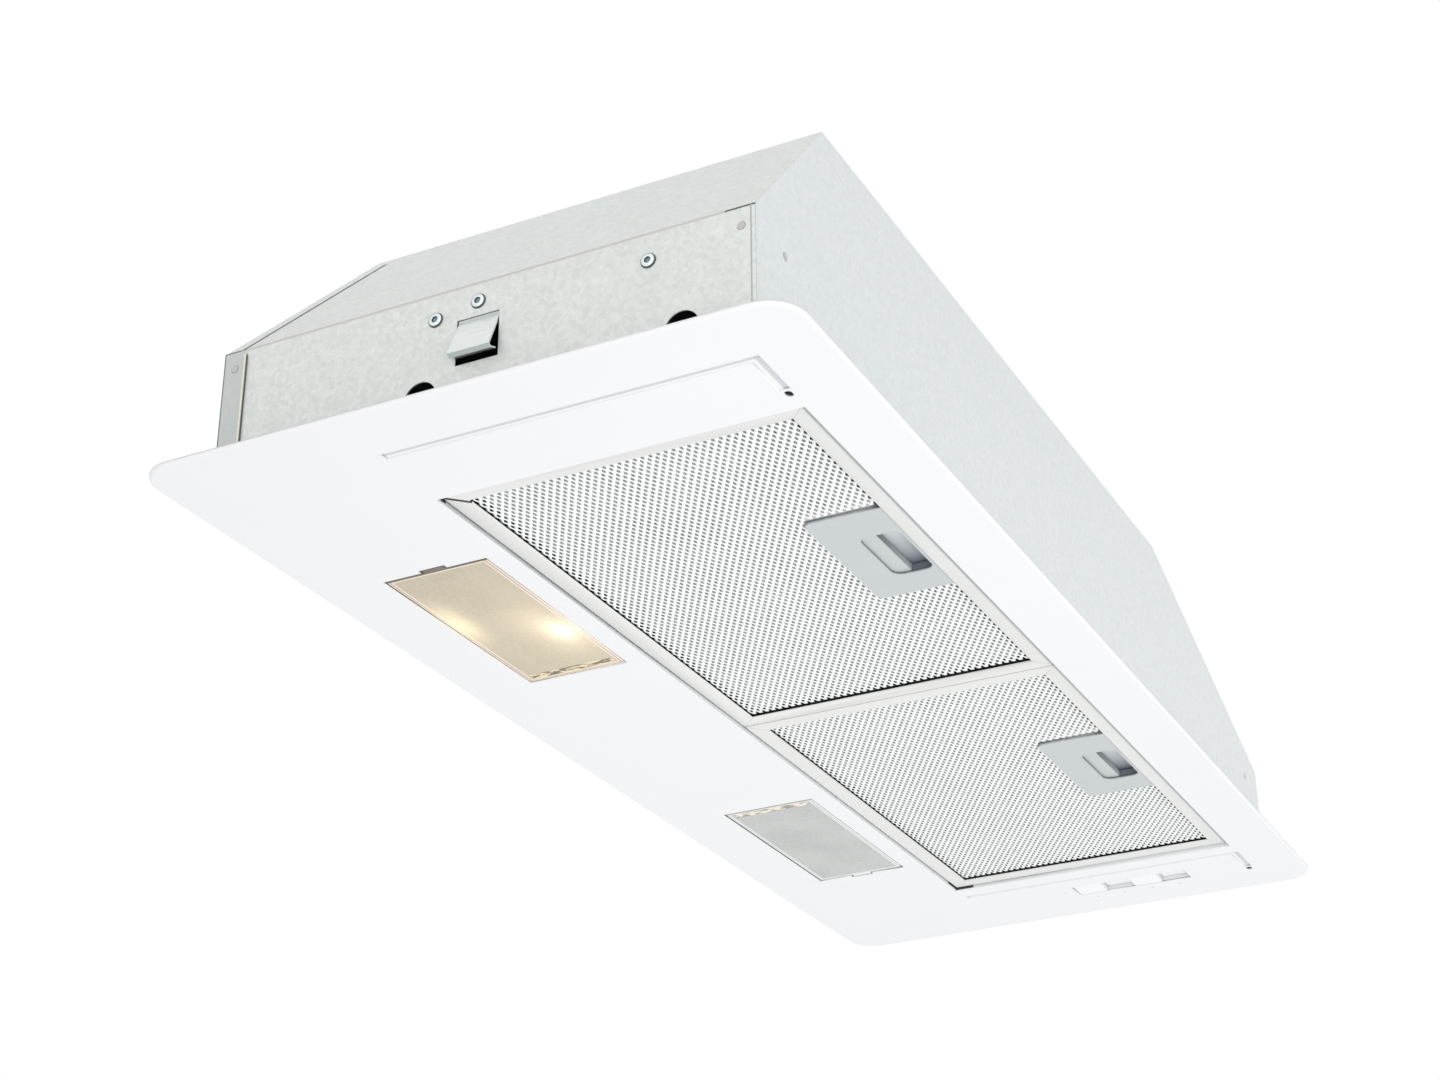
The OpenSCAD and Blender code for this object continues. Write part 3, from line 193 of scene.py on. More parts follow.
# %% The white world
world_light = 0.76
world = bpy.data.worlds.new("studio")
world.use_nodes = True
scene.world = world
tree = world.node_tree
ray = add_node(tree, "ShaderNodeLightPath").outputs
seen = calc(tree, "MAXIMUM", ray["Is Camera Ray"], ray["Is Glossy Ray"])
seen = calc(tree, "MAXIMUM", seen, ray["Is Transmission Ray"])
background = tree.nodes["Background"]
background.inputs["Color"].default_value = (1, 1, 1, 1)
tree.links.new(ranged(tree, seen, world_light, 1.0), background.inputs["Strength"])
print("the world lights the hood at", world_light)

# %% The floor


def as_mesh(name, work):
    """Turns a finished bmesh into a mesh."""
    mesh = bpy.data.meshes.new(name)
    work.to_mesh(mesh)
    work.free()
    return mesh


floor_z = -1250 * MM
floor_r = 3.2
fade_start, fade_end = 0.25 * floor_r, 0.9 * floor_r
work = bmesh.new()
bmesh.ops.create_circle(work, cap_ends=True, segments=96, radius=floor_r)
bmesh.ops.translate(work, verts=work.verts, vec=(0, 0, floor_z))
floor_mesh = as_mesh("floor", work)
floor = linked("floor", floor_mesh)

floor_paint = bpy.data.materials.new("floor_paint")
floor_paint.use_nodes = True
floor_mesh.materials.append(floor_paint)
tree = floor_paint.node_tree
paint = tree.nodes["Principled BSDF"]
paint.inputs["Base Color"].default_value = (0.88, 0.885, 0.89, 1)
paint.inputs["Roughness"].default_value = 0.7
far = vector_calc(tree, "LENGTH", here(tree), out="Value")
fade = add_node(tree, "ShaderNodeMapRange", interpolation_type="SMOOTHSTEP", from_min=fade_start,
                from_max=fade_end, links=[(far, "Value")]).outputs["Result"]
hidden = calc(tree, "MAXIMUM", fade, add_node(tree, "ShaderNodeNewGeometry").outputs["Backfacing"])
clear = add_node(tree, "ShaderNodeBsdfTransparent").outputs["BSDF"]
blend = add_node(tree, "ShaderNodeMixShader", links=[(hidden, "Fac"), (paint.outputs["BSDF"], 1), (clear, 2)])
tree.links.new(blend.outputs["Shader"], tree.nodes["Material Output"].inputs["Surface"])
print("floor", round(floor_z, 3), "m below the face plate")

# %% [markdown]
# ## Studio lamps
# Big soft boxes give the pale metal its gentle shading. A sun would draw hard shadows that the photograph
# lacks. Each box is a square area lamp that looks at the middle of the hood and that the camera can't see.
# The strongest one, below the front corner, is kept out of mirror images too, because the glossy plate would
# show it as a burnt-out white patch from some sides.

# %% Soft boxes
hood_middle = (cad_box[0] + cad_box[1]) / 2


def soft_box(name, place, size, power):
    """A square lamp that looks at the middle of the hood."""
    lamp = bpy.data.lights.new(name, "AREA")
    lamp.size = size
    lamp.energy = power
    box = linked(name, lamp)
    aim_at = (hood_middle - Vector(place)).to_track_quat("-Z", "Y").to_matrix().to_4x4()
    box.matrix_world = Matrix.Translation(place) @ aim_at
    box.visible_camera = False
    return box


under_box = soft_box("under_box", (-0.8, -1.0, -0.55), 1.3, 8.3)
under_box.visible_glossy = False
soft_box("under_far_box", (0.2, 0.0, -0.6), 1.3, 1.6)
soft_box("front_box", (1.5, -1.6, 0.3), 1.2, 3.9)
soft_box("left_box", (-2.4, -0.2, 0.3), 2.2, 5.4)
soft_box("top_box", (0.3, 0.4, 1.7), 1.4, 1)

# %% [markdown]
# ## Shared shader effects
# Most finishes here are one smooth material with a faint unevenness in tone, gloss and height. Writing that
# into each material again would bury what differs, so it is one node group with named inputs. A second
# group draws the zinc flowers of galvanised sheet. Both read Object coordinates, which are metres in the
# hood's own frame, so a pattern runs on across neighbouring parts at its true size.

# %% The group helper


def shader_group(name, inputs, outputs):
    """An empty node group; returns its tree, its given values by name, and its output node."""
    tree = bpy.data.node_groups.new(name, "ShaderNodeTree")
    for label, kind, value in inputs:
        socket = tree.interface.new_socket(label, in_out="INPUT", socket_type="NodeSocket" + kind)
        socket.default_value = value
    for label, kind in outputs:
        tree.interface.new_socket(label, in_out="OUTPUT", socket_type="NodeSocket" + kind)
    return tree, tree.nodes.new("NodeGroupInput").outputs, tree.nodes.new("NodeGroupOutput")


def noise(tree, vector, scale, **settings):
    """A noise texture along a vector; scale is a socket or a number."""
    node = add_node(tree, "ShaderNodeTexNoise", links=[(vector, "Vector")], **settings)
    feed(tree, node.inputs["Scale"], scale)
    return node.outputs


# %% Fine grain, shared by nearly every finish
grain_group, given, result = shader_group(
    "surface_grain",
    [("Scale", "Float", 400.0), ("Stretch", "Vector", (1, 1, 1)), ("Contrast", "Float", 0.5)],
    [("Tone", "Float"), ("Height", "Float")])
tree = grain_group
coarser = 23.0
stretched = vector_calc(tree, "MULTIPLY", here(tree), given["Stretch"])
fine = noise(tree, stretched, given["Scale"], detail=4.0, roughness=0.6)["Fac"]
slow = noise(tree, stretched, calc(tree, "DIVIDE", given["Scale"], coarser), detail=2.0)["Fac"]
both = calc(tree, "MULTIPLY_ADD", slow, given["Contrast"], fine)
tree.links.new(ranged(tree, both, 0, 1, 0.45, 1.05), result.inputs["Tone"])
tree.links.new(fine, result.inputs["Height"])
print("the grain group has", len(tree.nodes), "nodes")

# %% Zinc flowers, for galvanised sheet
spangle_group, given, result = shader_group(
    "zinc_spangle",
    [("Cells", "Float", 520.0), ("Warp", "Float", 0.002), ("Streak", "Vector", (5.0, 7.0, 60.0))],
    [("Tone", "Float"), ("Streaks", "Float"), ("Height", "Float")])
tree = spangle_group
crystal_share = 0.3
place = here(tree)
ripple = noise(tree, place, 90.0, detail=3.0)["Color"]
shift = add_node(tree, "ShaderNodeVectorMath", operation="SCALE",
                 links=[(ripple, 0), (given["Warp"], "Scale")])
warped = vector_calc(tree, "ADD", place, shift.outputs[0])
flowers = add_node(tree, "ShaderNodeTexVoronoi", links=[(warped, "Vector"), (given["Cells"], "Scale")])
colours = add_node(tree, "ShaderNodeSeparateColor", links=[(flowers.outputs["Color"], "Color")])
crystal = colours.outputs["Red"]
soft = noise(tree, place, 420.0, detail=5.0, roughness=0.7)["Fac"]
mottle = calc(tree, "MULTIPLY_ADD", crystal, crystal_share, soft)
streaks = noise(tree, vector_calc(tree, "MULTIPLY", place, given["Streak"]), 1.0, detail=3.0)["Fac"]
tree.links.new(ranged(tree, mottle, 0, 1, 0.3, 1.0), result.inputs["Tone"])
tree.links.new(streaks, result.inputs["Streaks"])
tree.links.new(soft, result.inputs["Height"])
print("shader groups:", [g.name for g in bpy.data.node_groups])

# %% [markdown]
# ## Plain finishes
# Paint, moulded plastic, rubber and small metal parts differ only in a few numbers: colour, gloss, how much
# of a metal they are, and how coarse their grain is. One function makes them all, with the grain group
# feeding tone, roughness and a very shallow bump. The numbers that are the same all over the surface are
# set on the shader's own sockets.

# %% The finish function
materials = {}
rough_swing, coat_rough = 0.06, 0.15


def new_finish(name):
    """A new material with its tree and its main shader, kept by name for the parts to pick from."""
    material = bpy.data.materials.new(name)
    material.use_nodes = True
    materials[name] = material
    return material, material.node_tree, material.node_tree.nodes["Principled BSDF"]


def mix_colours(tree, factor, dark, light):
    """A colour that runs from dark to light with the factor socket; each is a colour or a socket."""
    node = tree.nodes.new("ShaderNodeMix")
    node.data_type = "RGBA"
    for socket, value in zip([s for s in node.inputs if s.type == "RGBA"], (dark, light)):
        feed(tree, socket, value if hasattr(value, "links") else (*value, 1))
    tree.links.new(factor, node.inputs["Factor"])
    return next(s for s in node.outputs if s.type == "RGBA")


def bumped(tree, height, depth):
    """A normal that follows a height, whose full swing is depth."""
    return add_node(tree, "ShaderNodeBump", distance=depth, links=[(height, "Height")]).outputs["Normal"]


def finish(name, colour, rough, metal=0.0, vary=0.04, grain=400.0, bump=0.02 * MM, coat=0.0,
           stretch=(1, 1, 1)):
    """An even finish; vary is how far its tone strays, and grain and bump are its grain's scale and depth."""
    material, tree, shader = new_finish(name)
    shader.inputs["Metallic"].default_value = metal
    shader.inputs["Coat Weight"].default_value = coat
    shader.inputs["Coat Roughness"].default_value = coat_rough
    effect = add_node(tree, "ShaderNodeGroup", node_tree=grain_group)
    effect.inputs["Scale"].default_value = grain
    effect.inputs["Stretch"].default_value = stretch
    dark = [c * (1 - vary) for c in colour]
    light = [min(1.0, c * (1 + vary)) for c in colour]
    tone = effect.outputs["Tone"]
    tree.links.new(mix_colours(tree, tone, dark, light), shader.inputs["Base Color"])
    tree.links.new(ranged(tree, tone, rough + rough_swing, rough - rough_swing), shader.inputs["Roughness"])
    tree.links.new(bumped(tree, effect.outputs["Height"], bump), shader.inputs["Normal"])
    return material


# %% Paints and plastics
finish("plate_paint", (0.835, 0.84, 0.85), 0.42, vary=0.006, grain=700, bump=0.012 * MM, coat=0.1)
finish("latch_plastic", (0.525, 0.56, 0.565), 0.42, vary=0.015, grain=900, bump=0.02 * MM)
finish("button_white", (0.87, 0.88, 0.89), 0.3, vary=0.01, grain=800, bump=0.008 * MM)
finish("switch_white", (0.8, 0.81, 0.82), 0.4, vary=0.02, grain=600, bump=0.02 * MM)
finish("blower_black", (0.028, 0.029, 0.032), 0.55, vary=0.12, grain=350, bump=0.05 * MM)
finish("impeller_plastic", (0.06, 0.062, 0.068), 0.45, vary=0.1, grain=500, bump=0.03 * MM)
finish("collar_plastic", (0.022, 0.023, 0.025), 0.5, vary=0.15, grain=450, bump=0.05 * MM)
finish("terminal_plastic", (0.72, 0.72, 0.69), 0.45, vary=0.03, grain=500, bump=0.03 * MM)
finish("gland_nylon", (0.03, 0.031, 0.034), 0.4, vary=0.1, grain=600, bump=0.02 * MM)
finish("grommet_rubber", (0.02, 0.02, 0.021), 0.8, vary=0.2, grain=900, bump=0.04 * MM)
finish("lamp_socket", (0.82, 0.8, 0.75), 0.35, vary=0.02, grain=500, bump=0.02 * MM)
finish("motor_paint", (0.13, 0.135, 0.14), 0.4, metal=0.3, vary=0.08, grain=300, bump=0.03 * MM)
finish("capacitor_case", (0.78, 0.78, 0.8), 0.3, metal=0.5, vary=0.03, grain=500, stretch=(0.1, 1, 1))
print("paints and plastics:", len(materials))

# %% Bare metals
finish("zinc_screw", (0.5, 0.5, 0.48), 0.35, metal=0.8, vary=0.08, grain=1500, bump=0.01 * MM)
finish("rivet_steel", (0.78, 0.81, 0.81), 0.32, metal=0.8, vary=0.05, grain=1500, bump=0.01 * MM)
# A dark finish that paints shade and dark reflection on the rivets' rims
finish("rivet_rim", (0.07, 0.08, 0.08), 0.4, metal=0.2, vary=0.1, grain=1500, bump=0.01 * MM)
finish("rivet_pin", (0.16, 0.26, 0.28), 0.35, metal=0.5, vary=0.1, grain=1500, bump=0.01 * MM)
finish("spring_steel", (0.76, 0.8, 0.79), 0.3, metal=0.75, vary=0.05, grain=600, stretch=(1, 0.1, 1))
finish("shaft_steel", (0.62, 0.63, 0.65), 0.2, metal=1.0, vary=0.05, grain=900, stretch=(6, 1, 1))
finish("bracket_steel", (0.6, 0.62, 0.62), 0.38, metal=0.8, vary=0.07, grain=350)
finish("lamp_housing", (0.78, 0.78, 0.76), 0.3, metal=0.5, vary=0.04, grain=300)
finish("filter_frame", (0.75, 0.757, 0.742), 0.5, metal=0.15, vary=0.015, grain=500)
finish("filter_mesh", (0.93, 0.94, 0.94), 0.35, metal=0.12, vary=0.04, grain=1200, bump=0.01 * MM)
finish("filter_core", (0.78, 0.79, 0.79), 0.5, metal=0.2, vary=0.4, grain=900, bump=0.2 * MM)
# A dark finish that paints the shade inside the filters' frames
finish("filter_shade", (0.08, 0.084, 0.086), 0.7, vary=0.1, grain=600)
print("finishes so far:", len(materials))

# %% [markdown]
# A few marks sit at one place only, such as the painted shade in a pressed groove or a tick beside a button.
# They could be painted in an image, but a box in the hood's own frame says the same in two corners: inside
# it, one colour covers the finish. The boxes are worked out in millimetres from the parts that they belong
# to.

# %% Marks and painted shade inside a box


def in_mm(node):
    """A part's lowest and highest corner, in millimetres."""
    return [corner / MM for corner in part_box(node)]


def box_mask(tree, low, high, soft, most):
    """The value of most inside a box in millimetres, which falls to 0 across its faces."""
    low, high = Vector(low) * MM, Vector(high) * MM
    away = vector_calc(tree, "ABSOLUTE", vector_calc(tree, "SUBTRACT", here(tree), (low + high) / 2))
    past = split(tree, vector_calc(tree, "SUBTRACT", away, (high - low) / 2))
    furthest = calc(tree, "MAXIMUM", calc(tree, "MAXIMUM", past["X"], past["Y"]), past["Z"])
    return ranged(tree, furthest, most, 0, -soft * MM, soft * MM)


def stain(material, colour, *boxes, soft=0.15, most=1):
    """Lays a colour over a finish inside the given boxes."""
    tree = material.node_tree
    socket = tree.nodes["Principled BSDF"].inputs["Base Color"]
    for low, high in boxes:
        mask = box_mask(tree, low, high, soft, most)
        tree.links.new(mix_colours(tree, mask, socket.links[0].from_socket, colour), socket)


# %% Painted shade on one side of the plate's two pressed grooves
plate_paint = materials["plate_paint"]
plate_low, plate_high = in_mm("face_plate")
frames_low, frames_high = in_mm("filter_frame_left")[0], in_mm("filter_frame_right")[1]
opening_rear = in_mm("filter_mesh_left")[1].y + 2.6
opening_right = frames_high.x + 1.6
left_inset, right_inset = 34, 60
shade_w, shade_spill, foot_l = 2.2, 0.3, 26
shade_low_z, shade_high_z = 0.3, 0.9
groove_y, groove_end = frames_low.y, opening_rear - 0.6
for groove_x in (plate_low.x + left_inset, plate_high.x - right_inset):
    corner = (groove_x - shade_w, groove_y - shade_w, shade_low_z)
    stain(plate_paint, (0.5, 0.53, 0.56), (corner, (groove_x + shade_spill, groove_end, shade_high_z)),
          (corner, (groove_x + foot_l, groove_y + shade_spill, shade_high_z)), soft=0.25)
print("the grooves run from y =", round(groove_y, 1), "to", round(groove_end, 1), "mm")

# %% A tiny grey mark beside each button
mark_gap, mark_w, mark_half = 5.55, 1.5, 0.8
for k in (1, 2, 3, 4):
    low, high = in_mm("button_%d" % k)
    mark_x, mark_y = high.x + mark_gap, (low.y + high.y) / 2
    stain(plate_paint, (0.6, 0.61, 0.62),
          ((mark_x, mark_y - mark_half, -1), (mark_x + mark_w, mark_y + mark_half, 0.2)))
    print("mark", k, "at y =", round(mark_y, 1), "mm")

# %% The walls of the filter opening
wall_reach, rim_top = 0.8, plate_high.z - 0.1
left_gap_end, right_gap_start, side_gap_start = frames_low.x + 5.7, frames_high.x - 10.7, opening_rear - 11.5


def rear_wall(start, end, low):
    """A box on the opening's rear wall, from its X limits up to the rim."""
    return (start, opening_rear - wall_reach, low), (end, opening_rear + wall_reach, rim_top)


def right_wall(start, end, low):
    """A box on the opening's right wall, from its Y limits up to the rim."""
    return (opening_right - wall_reach, start, low), (opening_right + wall_reach, end, rim_top)


# Painted shadow fills the gaps at the two rear corners, and painted shade makes the rest of the walls a
# little darker
stain(plate_paint, (0.05, 0.05, 0.055), rear_wall(frames_low.x - 1.3, left_gap_end, 1.5),
      rear_wall(right_gap_start, frames_high.x + 1.3, 1.5),
      right_wall(side_gap_start, opening_rear - 0.3, 0.9))
stain(plate_paint, (0.78, 0.79, 0.8), rear_wall(left_gap_end, right_gap_start, 0.5),
      right_wall(frames_low.y - 1.6, side_gap_start, 0.5))
print("the filter opening ends at y =", round(opening_rear, 1), "mm")

# %% [markdown]
# ## Galvanised sheet
# The body is hot-dip galvanised steel. Close up it is a patchwork of zinc crystals that differ a little in
# brightness, with faint bluish streaks where the rollers ran. A photograph of such a sheet can't be used
# here, and a plain grey metal looks like plastic, so the spangle group drives colour, roughness and bump.

# %% The galvanised finish
streak_share, zinc_swing, zinc_depth = 0.2, 0.1, 0.03 * MM


def galvanised(name, low, high, streak, metal, rough):
    """A zinc finish whose crystals run from low to high, with streaks of a third colour."""
    material, tree, shader = new_finish(name)
    shader.inputs["Metallic"].default_value = metal
    effect = add_node(tree, "ShaderNodeGroup", node_tree=spangle_group)
    crystal = mix_colours(tree, effect.outputs["Tone"], low, high)
    band = ranged(tree, effect.outputs["Streaks"], 0.0, streak_share, 0.5, 0.75)
    tree.links.new(mix_colours(tree, band, crystal, streak), shader.inputs["Base Color"])
    gloss = ranged(tree, effect.outputs["Tone"], rough + zinc_swing, rough - zinc_swing)
    tree.links.new(gloss, shader.inputs["Roughness"])
    tree.links.new(bumped(tree, effect.outputs["Height"], zinc_depth), shader.inputs["Normal"])
    return material


panel_zinc = ((0.62, 0.655, 0.655), (0.7, 0.73, 0.735), (0.58, 0.64, 0.66), 0.45, 0.42)
galvanised("galvanised", *panel_zinc)
rear_zinc = galvanised("galvanised_rear", *panel_zinc)
wall_zinc = galvanised("galvanised_wall", (0.62, 0.65, 0.63), (0.78, 0.81, 0.79), (0.62, 0.67, 0.66),
                       0.3, 0.45)
slope_zinc = galvanised("galvanised_seam", (0.6, 0.63, 0.61), (0.68, 0.71, 0.69), (0.56, 0.62, 0.62),
                        0.45, 0.42)
print("finishes with the galvanised ones:", len(materials))

# %% Edges of the end wall and of the rear panel's wrap
wall_low, wall_high = in_mm("left_end_wall")
rear_x, rear_y = in_mm("rear_panel")[1].xy
flange_w, wrap_w = 8, 11
fold_z = wall_high.z
wrap_rear = rear_y - flange_w
wrap_front = wrap_rear - wrap_w


def on_wrap(side, near, far, low, high):
    """A box on the rear panel's wrap, from its Y and Z limits, at the left (-1) or right (1) end wall."""
    x_limits = sorted((side * (rear_x - 1.4), side * (rear_x + 1.2)))
    return (x_limits[0], near, low), (x_limits[1], far, high)


def on_left_wall(near, far, low, high):
    """A box on the left end wall, from its Y and Z limits."""
    return (wall_high.x - 1.8, near, low), (wall_high.x + 0.7, far, high)


# The wrap is made darker than the wall, painted shade draws dark lines along its edges, and a painted cream
# highlight runs inside its front edge
for side in (-1, 1):
    stain(rear_zinc, (0.36, 0.39, 0.36), on_wrap(side, wrap_front, wrap_rear + 0.5, 0, fold_z + 0.6),
          most=0.4)
    stain(rear_zinc, (0.8, 0.78, 0.62), on_wrap(side, wrap_front + 0.5, wrap_front + 1.3, 2, fold_z - 2.4))
    stain(rear_zinc, (0.1, 0.11, 0.1), on_wrap(side, wrap_front - 0.5, wrap_front + 0.4, 0, fold_z - 1.4),
          on_wrap(side, wrap_rear - 0.6, wrap_rear + 1, 0, fold_z - 0.4),
          on_wrap(side, wrap_front + 0.5, wrap_rear + 1, fold_z - 0.9, fold_z + 1.6))
# Painted shade draws a dark slit where the wall's fold opens at the front and a softer dark line along the
# rest of the fold; a brown line runs down beside the front panel
slit_end = wall_low.y + 12.7
stain(wall_zinc, (0.09, 0.095, 0.09), on_left_wall(wall_low.y - 0.3, slit_end, fold_z - 0.8, fold_z + 0.4))
stain(wall_zinc, (0.42, 0.4, 0.36), on_left_wall(wall_low.y + 1.5, wall_low.y + 2.1, 2, fold_z - 0.4))
stain(wall_zinc, (0.56, 0.55, 0.52), on_left_wall(slit_end, wall_high.y + 1.3, fold_z - 1, fold_z + 0.4),
      soft=0.4)
print("the wrap runs from y =", round(wrap_front, 1), "to", round(wrap_rear, 1), "mm")

# %% [markdown]
# The rear panel folds over the left slope as a narrow seam, which shows as a dark line beside the slope's
# rear edge. It is too fine for the solid, so the slope's finish draws it: the distance from the edge,
# measured within the slope, picks a dark band, and the distance along the edge ends it before the top.

# %% The slope's seam line
slope_low, slope_high = in_mm("left_slope_panel")
edge_low = Vector((slope_low.x, wrap_rear, slope_low.z)) * MM
edge_high = Vector((slope_high.x - 1.1, in_mm("top_panel")[1].y + 0.6, slope_high.z)) * MM
edge_l = (edge_high - edge_low).length
along_edge = (edge_high - edge_low).normalized()
slope_normal = Vector((edge_low.z - edge_high.z, 0, edge_high.x - edge_low.x)).normalized()
into_slope = slope_normal.cross(along_edge)
into_slope *= -math.copysign(1, into_slope.y)
seam_in, seam_w, seam_end = 8.3 * MM, 2.4 * MM, edge_l - 5 * MM
tree = slope_zinc.node_tree
base = tree.nodes["Principled BSDF"].inputs["Base Color"]
from_corner = vector_calc(tree, "SUBTRACT", here(tree), edge_low)
inward = vector_calc(tree, "DOT_PRODUCT", from_corner, into_slope, out="Value")
upward = vector_calc(tree, "DOT_PRODUCT", from_corner, along_edge, out="Value")
line = calc(tree, "MULTIPLY", calc(tree, "COMPARE", inward, seam_in, seam_w / 2),
            ranged(tree, upward, 1, 0, seam_end, seam_end + 1 * MM))
tree.links.new(mix_colours(tree, line, base.links[0].from_socket, (0.02, 0.03, 0.035)), base)
print("the seam is", round(edge_l / MM, 1), "mm long")

# %% [markdown]
# ## Lamp lenses and bulbs
# Each lamp has a frosted cover over a small opal bulb, and the left lamp is lit. Real frosted plastic
# scatters the bulb's light inside it, which a path tracer needs many samples to resolve. A cheaper way gives
# the same picture from every side: the lens is a dull pale plastic, and its own emission is a warm spot that
# fades with the distance from the bulb. The distance is worked out in Object coordinates.

# %% Parts of the lens finish
cover_l, cover_w = 121 * MM, 50 * MM
lens_half = (cover_l / 2, cover_w / 2)
rim_reach = 4 * MM
clip_start, clip_end, clip_fade = lens_half[0] - 6.8 * MM, lens_half[0] - 2.6 * MM, 0.4 * MM


def rim_lines(tree, away, rims, colour):
    """The colours of a lined rim, from a list of (distance from the edge, colour).

    The last colour is None, where the frosted middle starts: the ramp's Alpha is 1 on the rim alone.
    """
    from_end = ranged(tree, away["X"], 1, 0, lens_half[0] - rim_reach, lens_half[0])
    from_side = ranged(tree, away["Y"], 1, 0, lens_half[1] - rim_reach, lens_half[1])
    nearest = calc(tree, "MINIMUM", from_end, from_side)
    ramp = add_node(tree, "ShaderNodeValToRGB", links=[(nearest, "Fac")])
    stops = ramp.color_ramp.elements
    stops.remove(stops[1])
    for k, (distance, tint) in enumerate(rims):
        share = distance * MM / rim_reach
        stop = stops[0] if k == 0 else stops.new(share)
        stop.position = share
        stop.color = (*(tint or colour), 1 if tint else 0)
    return ramp.outputs


def clip_window(tree, signed, away, inner):
    """1 in the band at the lamp's inner end, where its clip shows through."""
    toward = calc(tree, "MULTIPLY", signed["X"], inner)
    starts = ranged(tree, toward, 0, 1, clip_start - clip_fade, clip_start)
    ends = ranged(tree, toward, 1, 0, clip_end, clip_end + clip_fade)
    sides = ranged(tree, away["Y"], 1, 0, lens_half[1] - rim_reach, lens_half[1] - 3 * MM)
    return calc(tree, "MULTIPLY", calc(tree, "MULTIPLY", starts, ends), sides)


def warm_glow(tree, place, spots):
    """The sum of soft spots of light, from a list of (centre, reach, colour, strength)."""
    light = None
    for centre, reach, warm, strength in spots:
        offset = vector_calc(tree, "DIVIDE", vector_calc(tree, "SUBTRACT", place, centre), reach)
        squared = calc(tree, "POWER", vector_calc(tree, "LENGTH", offset, out="Value"), 2.0)
        fall = calc(tree, "EXPONENT", calc(tree, "MULTIPLY", squared, -1.0))
        spot = mix_colours(tree, fall, (0, 0, 0), [c * strength for c in warm])
        light = spot if light is None else vector_calc(tree, "ADD", light, spot)
    return light


# %% The lens finish
lens_grain, lens_contrast, lens_depth = 600, 0.9, 0.06 * MM
dull_share, bright_share = 0.78, 1.08
blot_stretch = (420, 150, 1)
slit_start, slit_fade = 1.3 * MM - lens_half[0], 0.3 * MM


def lens_finish(name, colour, rims, middle, inner, spots, clip):
    """A frosted plate with a lined rim.

    inner is the X direction of the lamp's inner end, where a clip of two colours shows through, and spots
    are its soft spots of light.
    """
    material, tree, shader = new_finish(name)
    effect = add_node(tree, "ShaderNodeGroup", node_tree=grain_group)
    effect.inputs["Scale"].default_value = lens_grain
    effect.inputs["Contrast"].default_value = lens_contrast
    place = here(tree)
    from_middle = vector_calc(tree, "SUBTRACT", place, middle)
    signed = split(tree, from_middle)
    away = split(tree, vector_calc(tree, "ABSOLUTE", from_middle))
    rim = rim_lines(tree, away, rims, colour)
    dull, bright = [c * dull_share for c in colour], [c * bright_share for c in colour]
    frosted = mix_colours(tree, effect.outputs["Tone"], dull, bright)
    base = mix_colours(tree, rim["Alpha"], frosted, rim["Color"])
    blots = noise(tree, vector_calc(tree, "MULTIPLY", from_middle, blot_stretch), 1.0, detail=2.0)["Fac"]
    seen_clip = mix_colours(tree, ranged(tree, blots, 0, 1, 0.47, 0.55), *clip)
    base = mix_colours(tree, clip_window(tree, signed, away, inner), base, seen_clip)
    # Painted shade: a dark line across the lens's -X end, in the clip's dark colour
    slit = ranged(tree, signed["X"], 1, 0, slit_start - slit_fade, slit_start)
    tree.links.new(mix_colours(tree, slit, base, clip[1]), shader.inputs["Base Color"])
    tree.links.new(ranged(tree, rim["Alpha"], 0.4, 0.15), shader.inputs["Roughness"])
    tree.links.new(bumped(tree, effect.outputs["Height"], lens_depth), shader.inputs["Normal"])
    if spots:
        tree.links.new(warm_glow(tree, place, spots), shader.inputs["Emission Color"])
        shader.inputs["Emission Strength"].default_value = 1.0
    return material


# %% The lit and the unlit lens
lens_x = 161 * MM
lens_low, lens_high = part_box("lamp_cover_left")
lens_y = (lens_low.y + lens_high.y) / 2
warm_spots = [
    (Vector((-144, 68, 0.4)) * MM, Vector((9, 6, 30)) * MM, (1.0, 0.93, 0.72), 0.62),
    (Vector((-145, 70, 0.4)) * MM, Vector((24, 12, 30)) * MM, (1.0, 0.85, 0.52), 0.36),
    (Vector((-170, 105.6, 0.4)) * MM, Vector((18, 6, 30)) * MM, (1.0, 0.84, 0.45), 0.48),
    (Vector((-152, 86, 0.4)) * MM, Vector((60, 40, 60)) * MM, (1.0, 0.78, 0.45), 0.1)]
# Both rims carry a dark band about 1 mm in from the edge, painted shade in the gap round the cover
warm_rims = [(0, (0.82, 0.72, 0.64)), (0.7, (0.84, 0.74, 0.66)), (0.9, (0.3, 0.24, 0.19)),
             (1.3, (0.34, 0.27, 0.21)), (1.5, (0.84, 0.74, 0.62)), (2.1, (0.8, 0.7, 0.58)), (2.4, None)]
cool_rims = [(0, (0.84, 0.86, 0.86)), (0.7, (0.84, 0.86, 0.86)), (0.9, (0.42, 0.42, 0.4)),
             (1.2, (0.46, 0.46, 0.44)), (1.4, (0.84, 0.85, 0.84)), (2.0, (0.82, 0.83, 0.82)), (2.3, None)]
warm_clip, cool_clip = ((0.8, 0.68, 0.45), (0.1, 0.08, 0.05)), ((0.86, 0.8, 0.64), (0.3, 0.28, 0.25))
lens_finish("lamp_lens_lit", (0.5, 0.44, 0.335), warm_rims, (-lens_x, lens_y, 0), 1, warm_spots, warm_clip)
lens_finish("lamp_lens", (0.49, 0.5, 0.49), cool_rims, (lens_x, lens_y, 0), -1, [], cool_clip)
print("the lenses' middles lie at y =", round(lens_y / MM, 1), "mm")

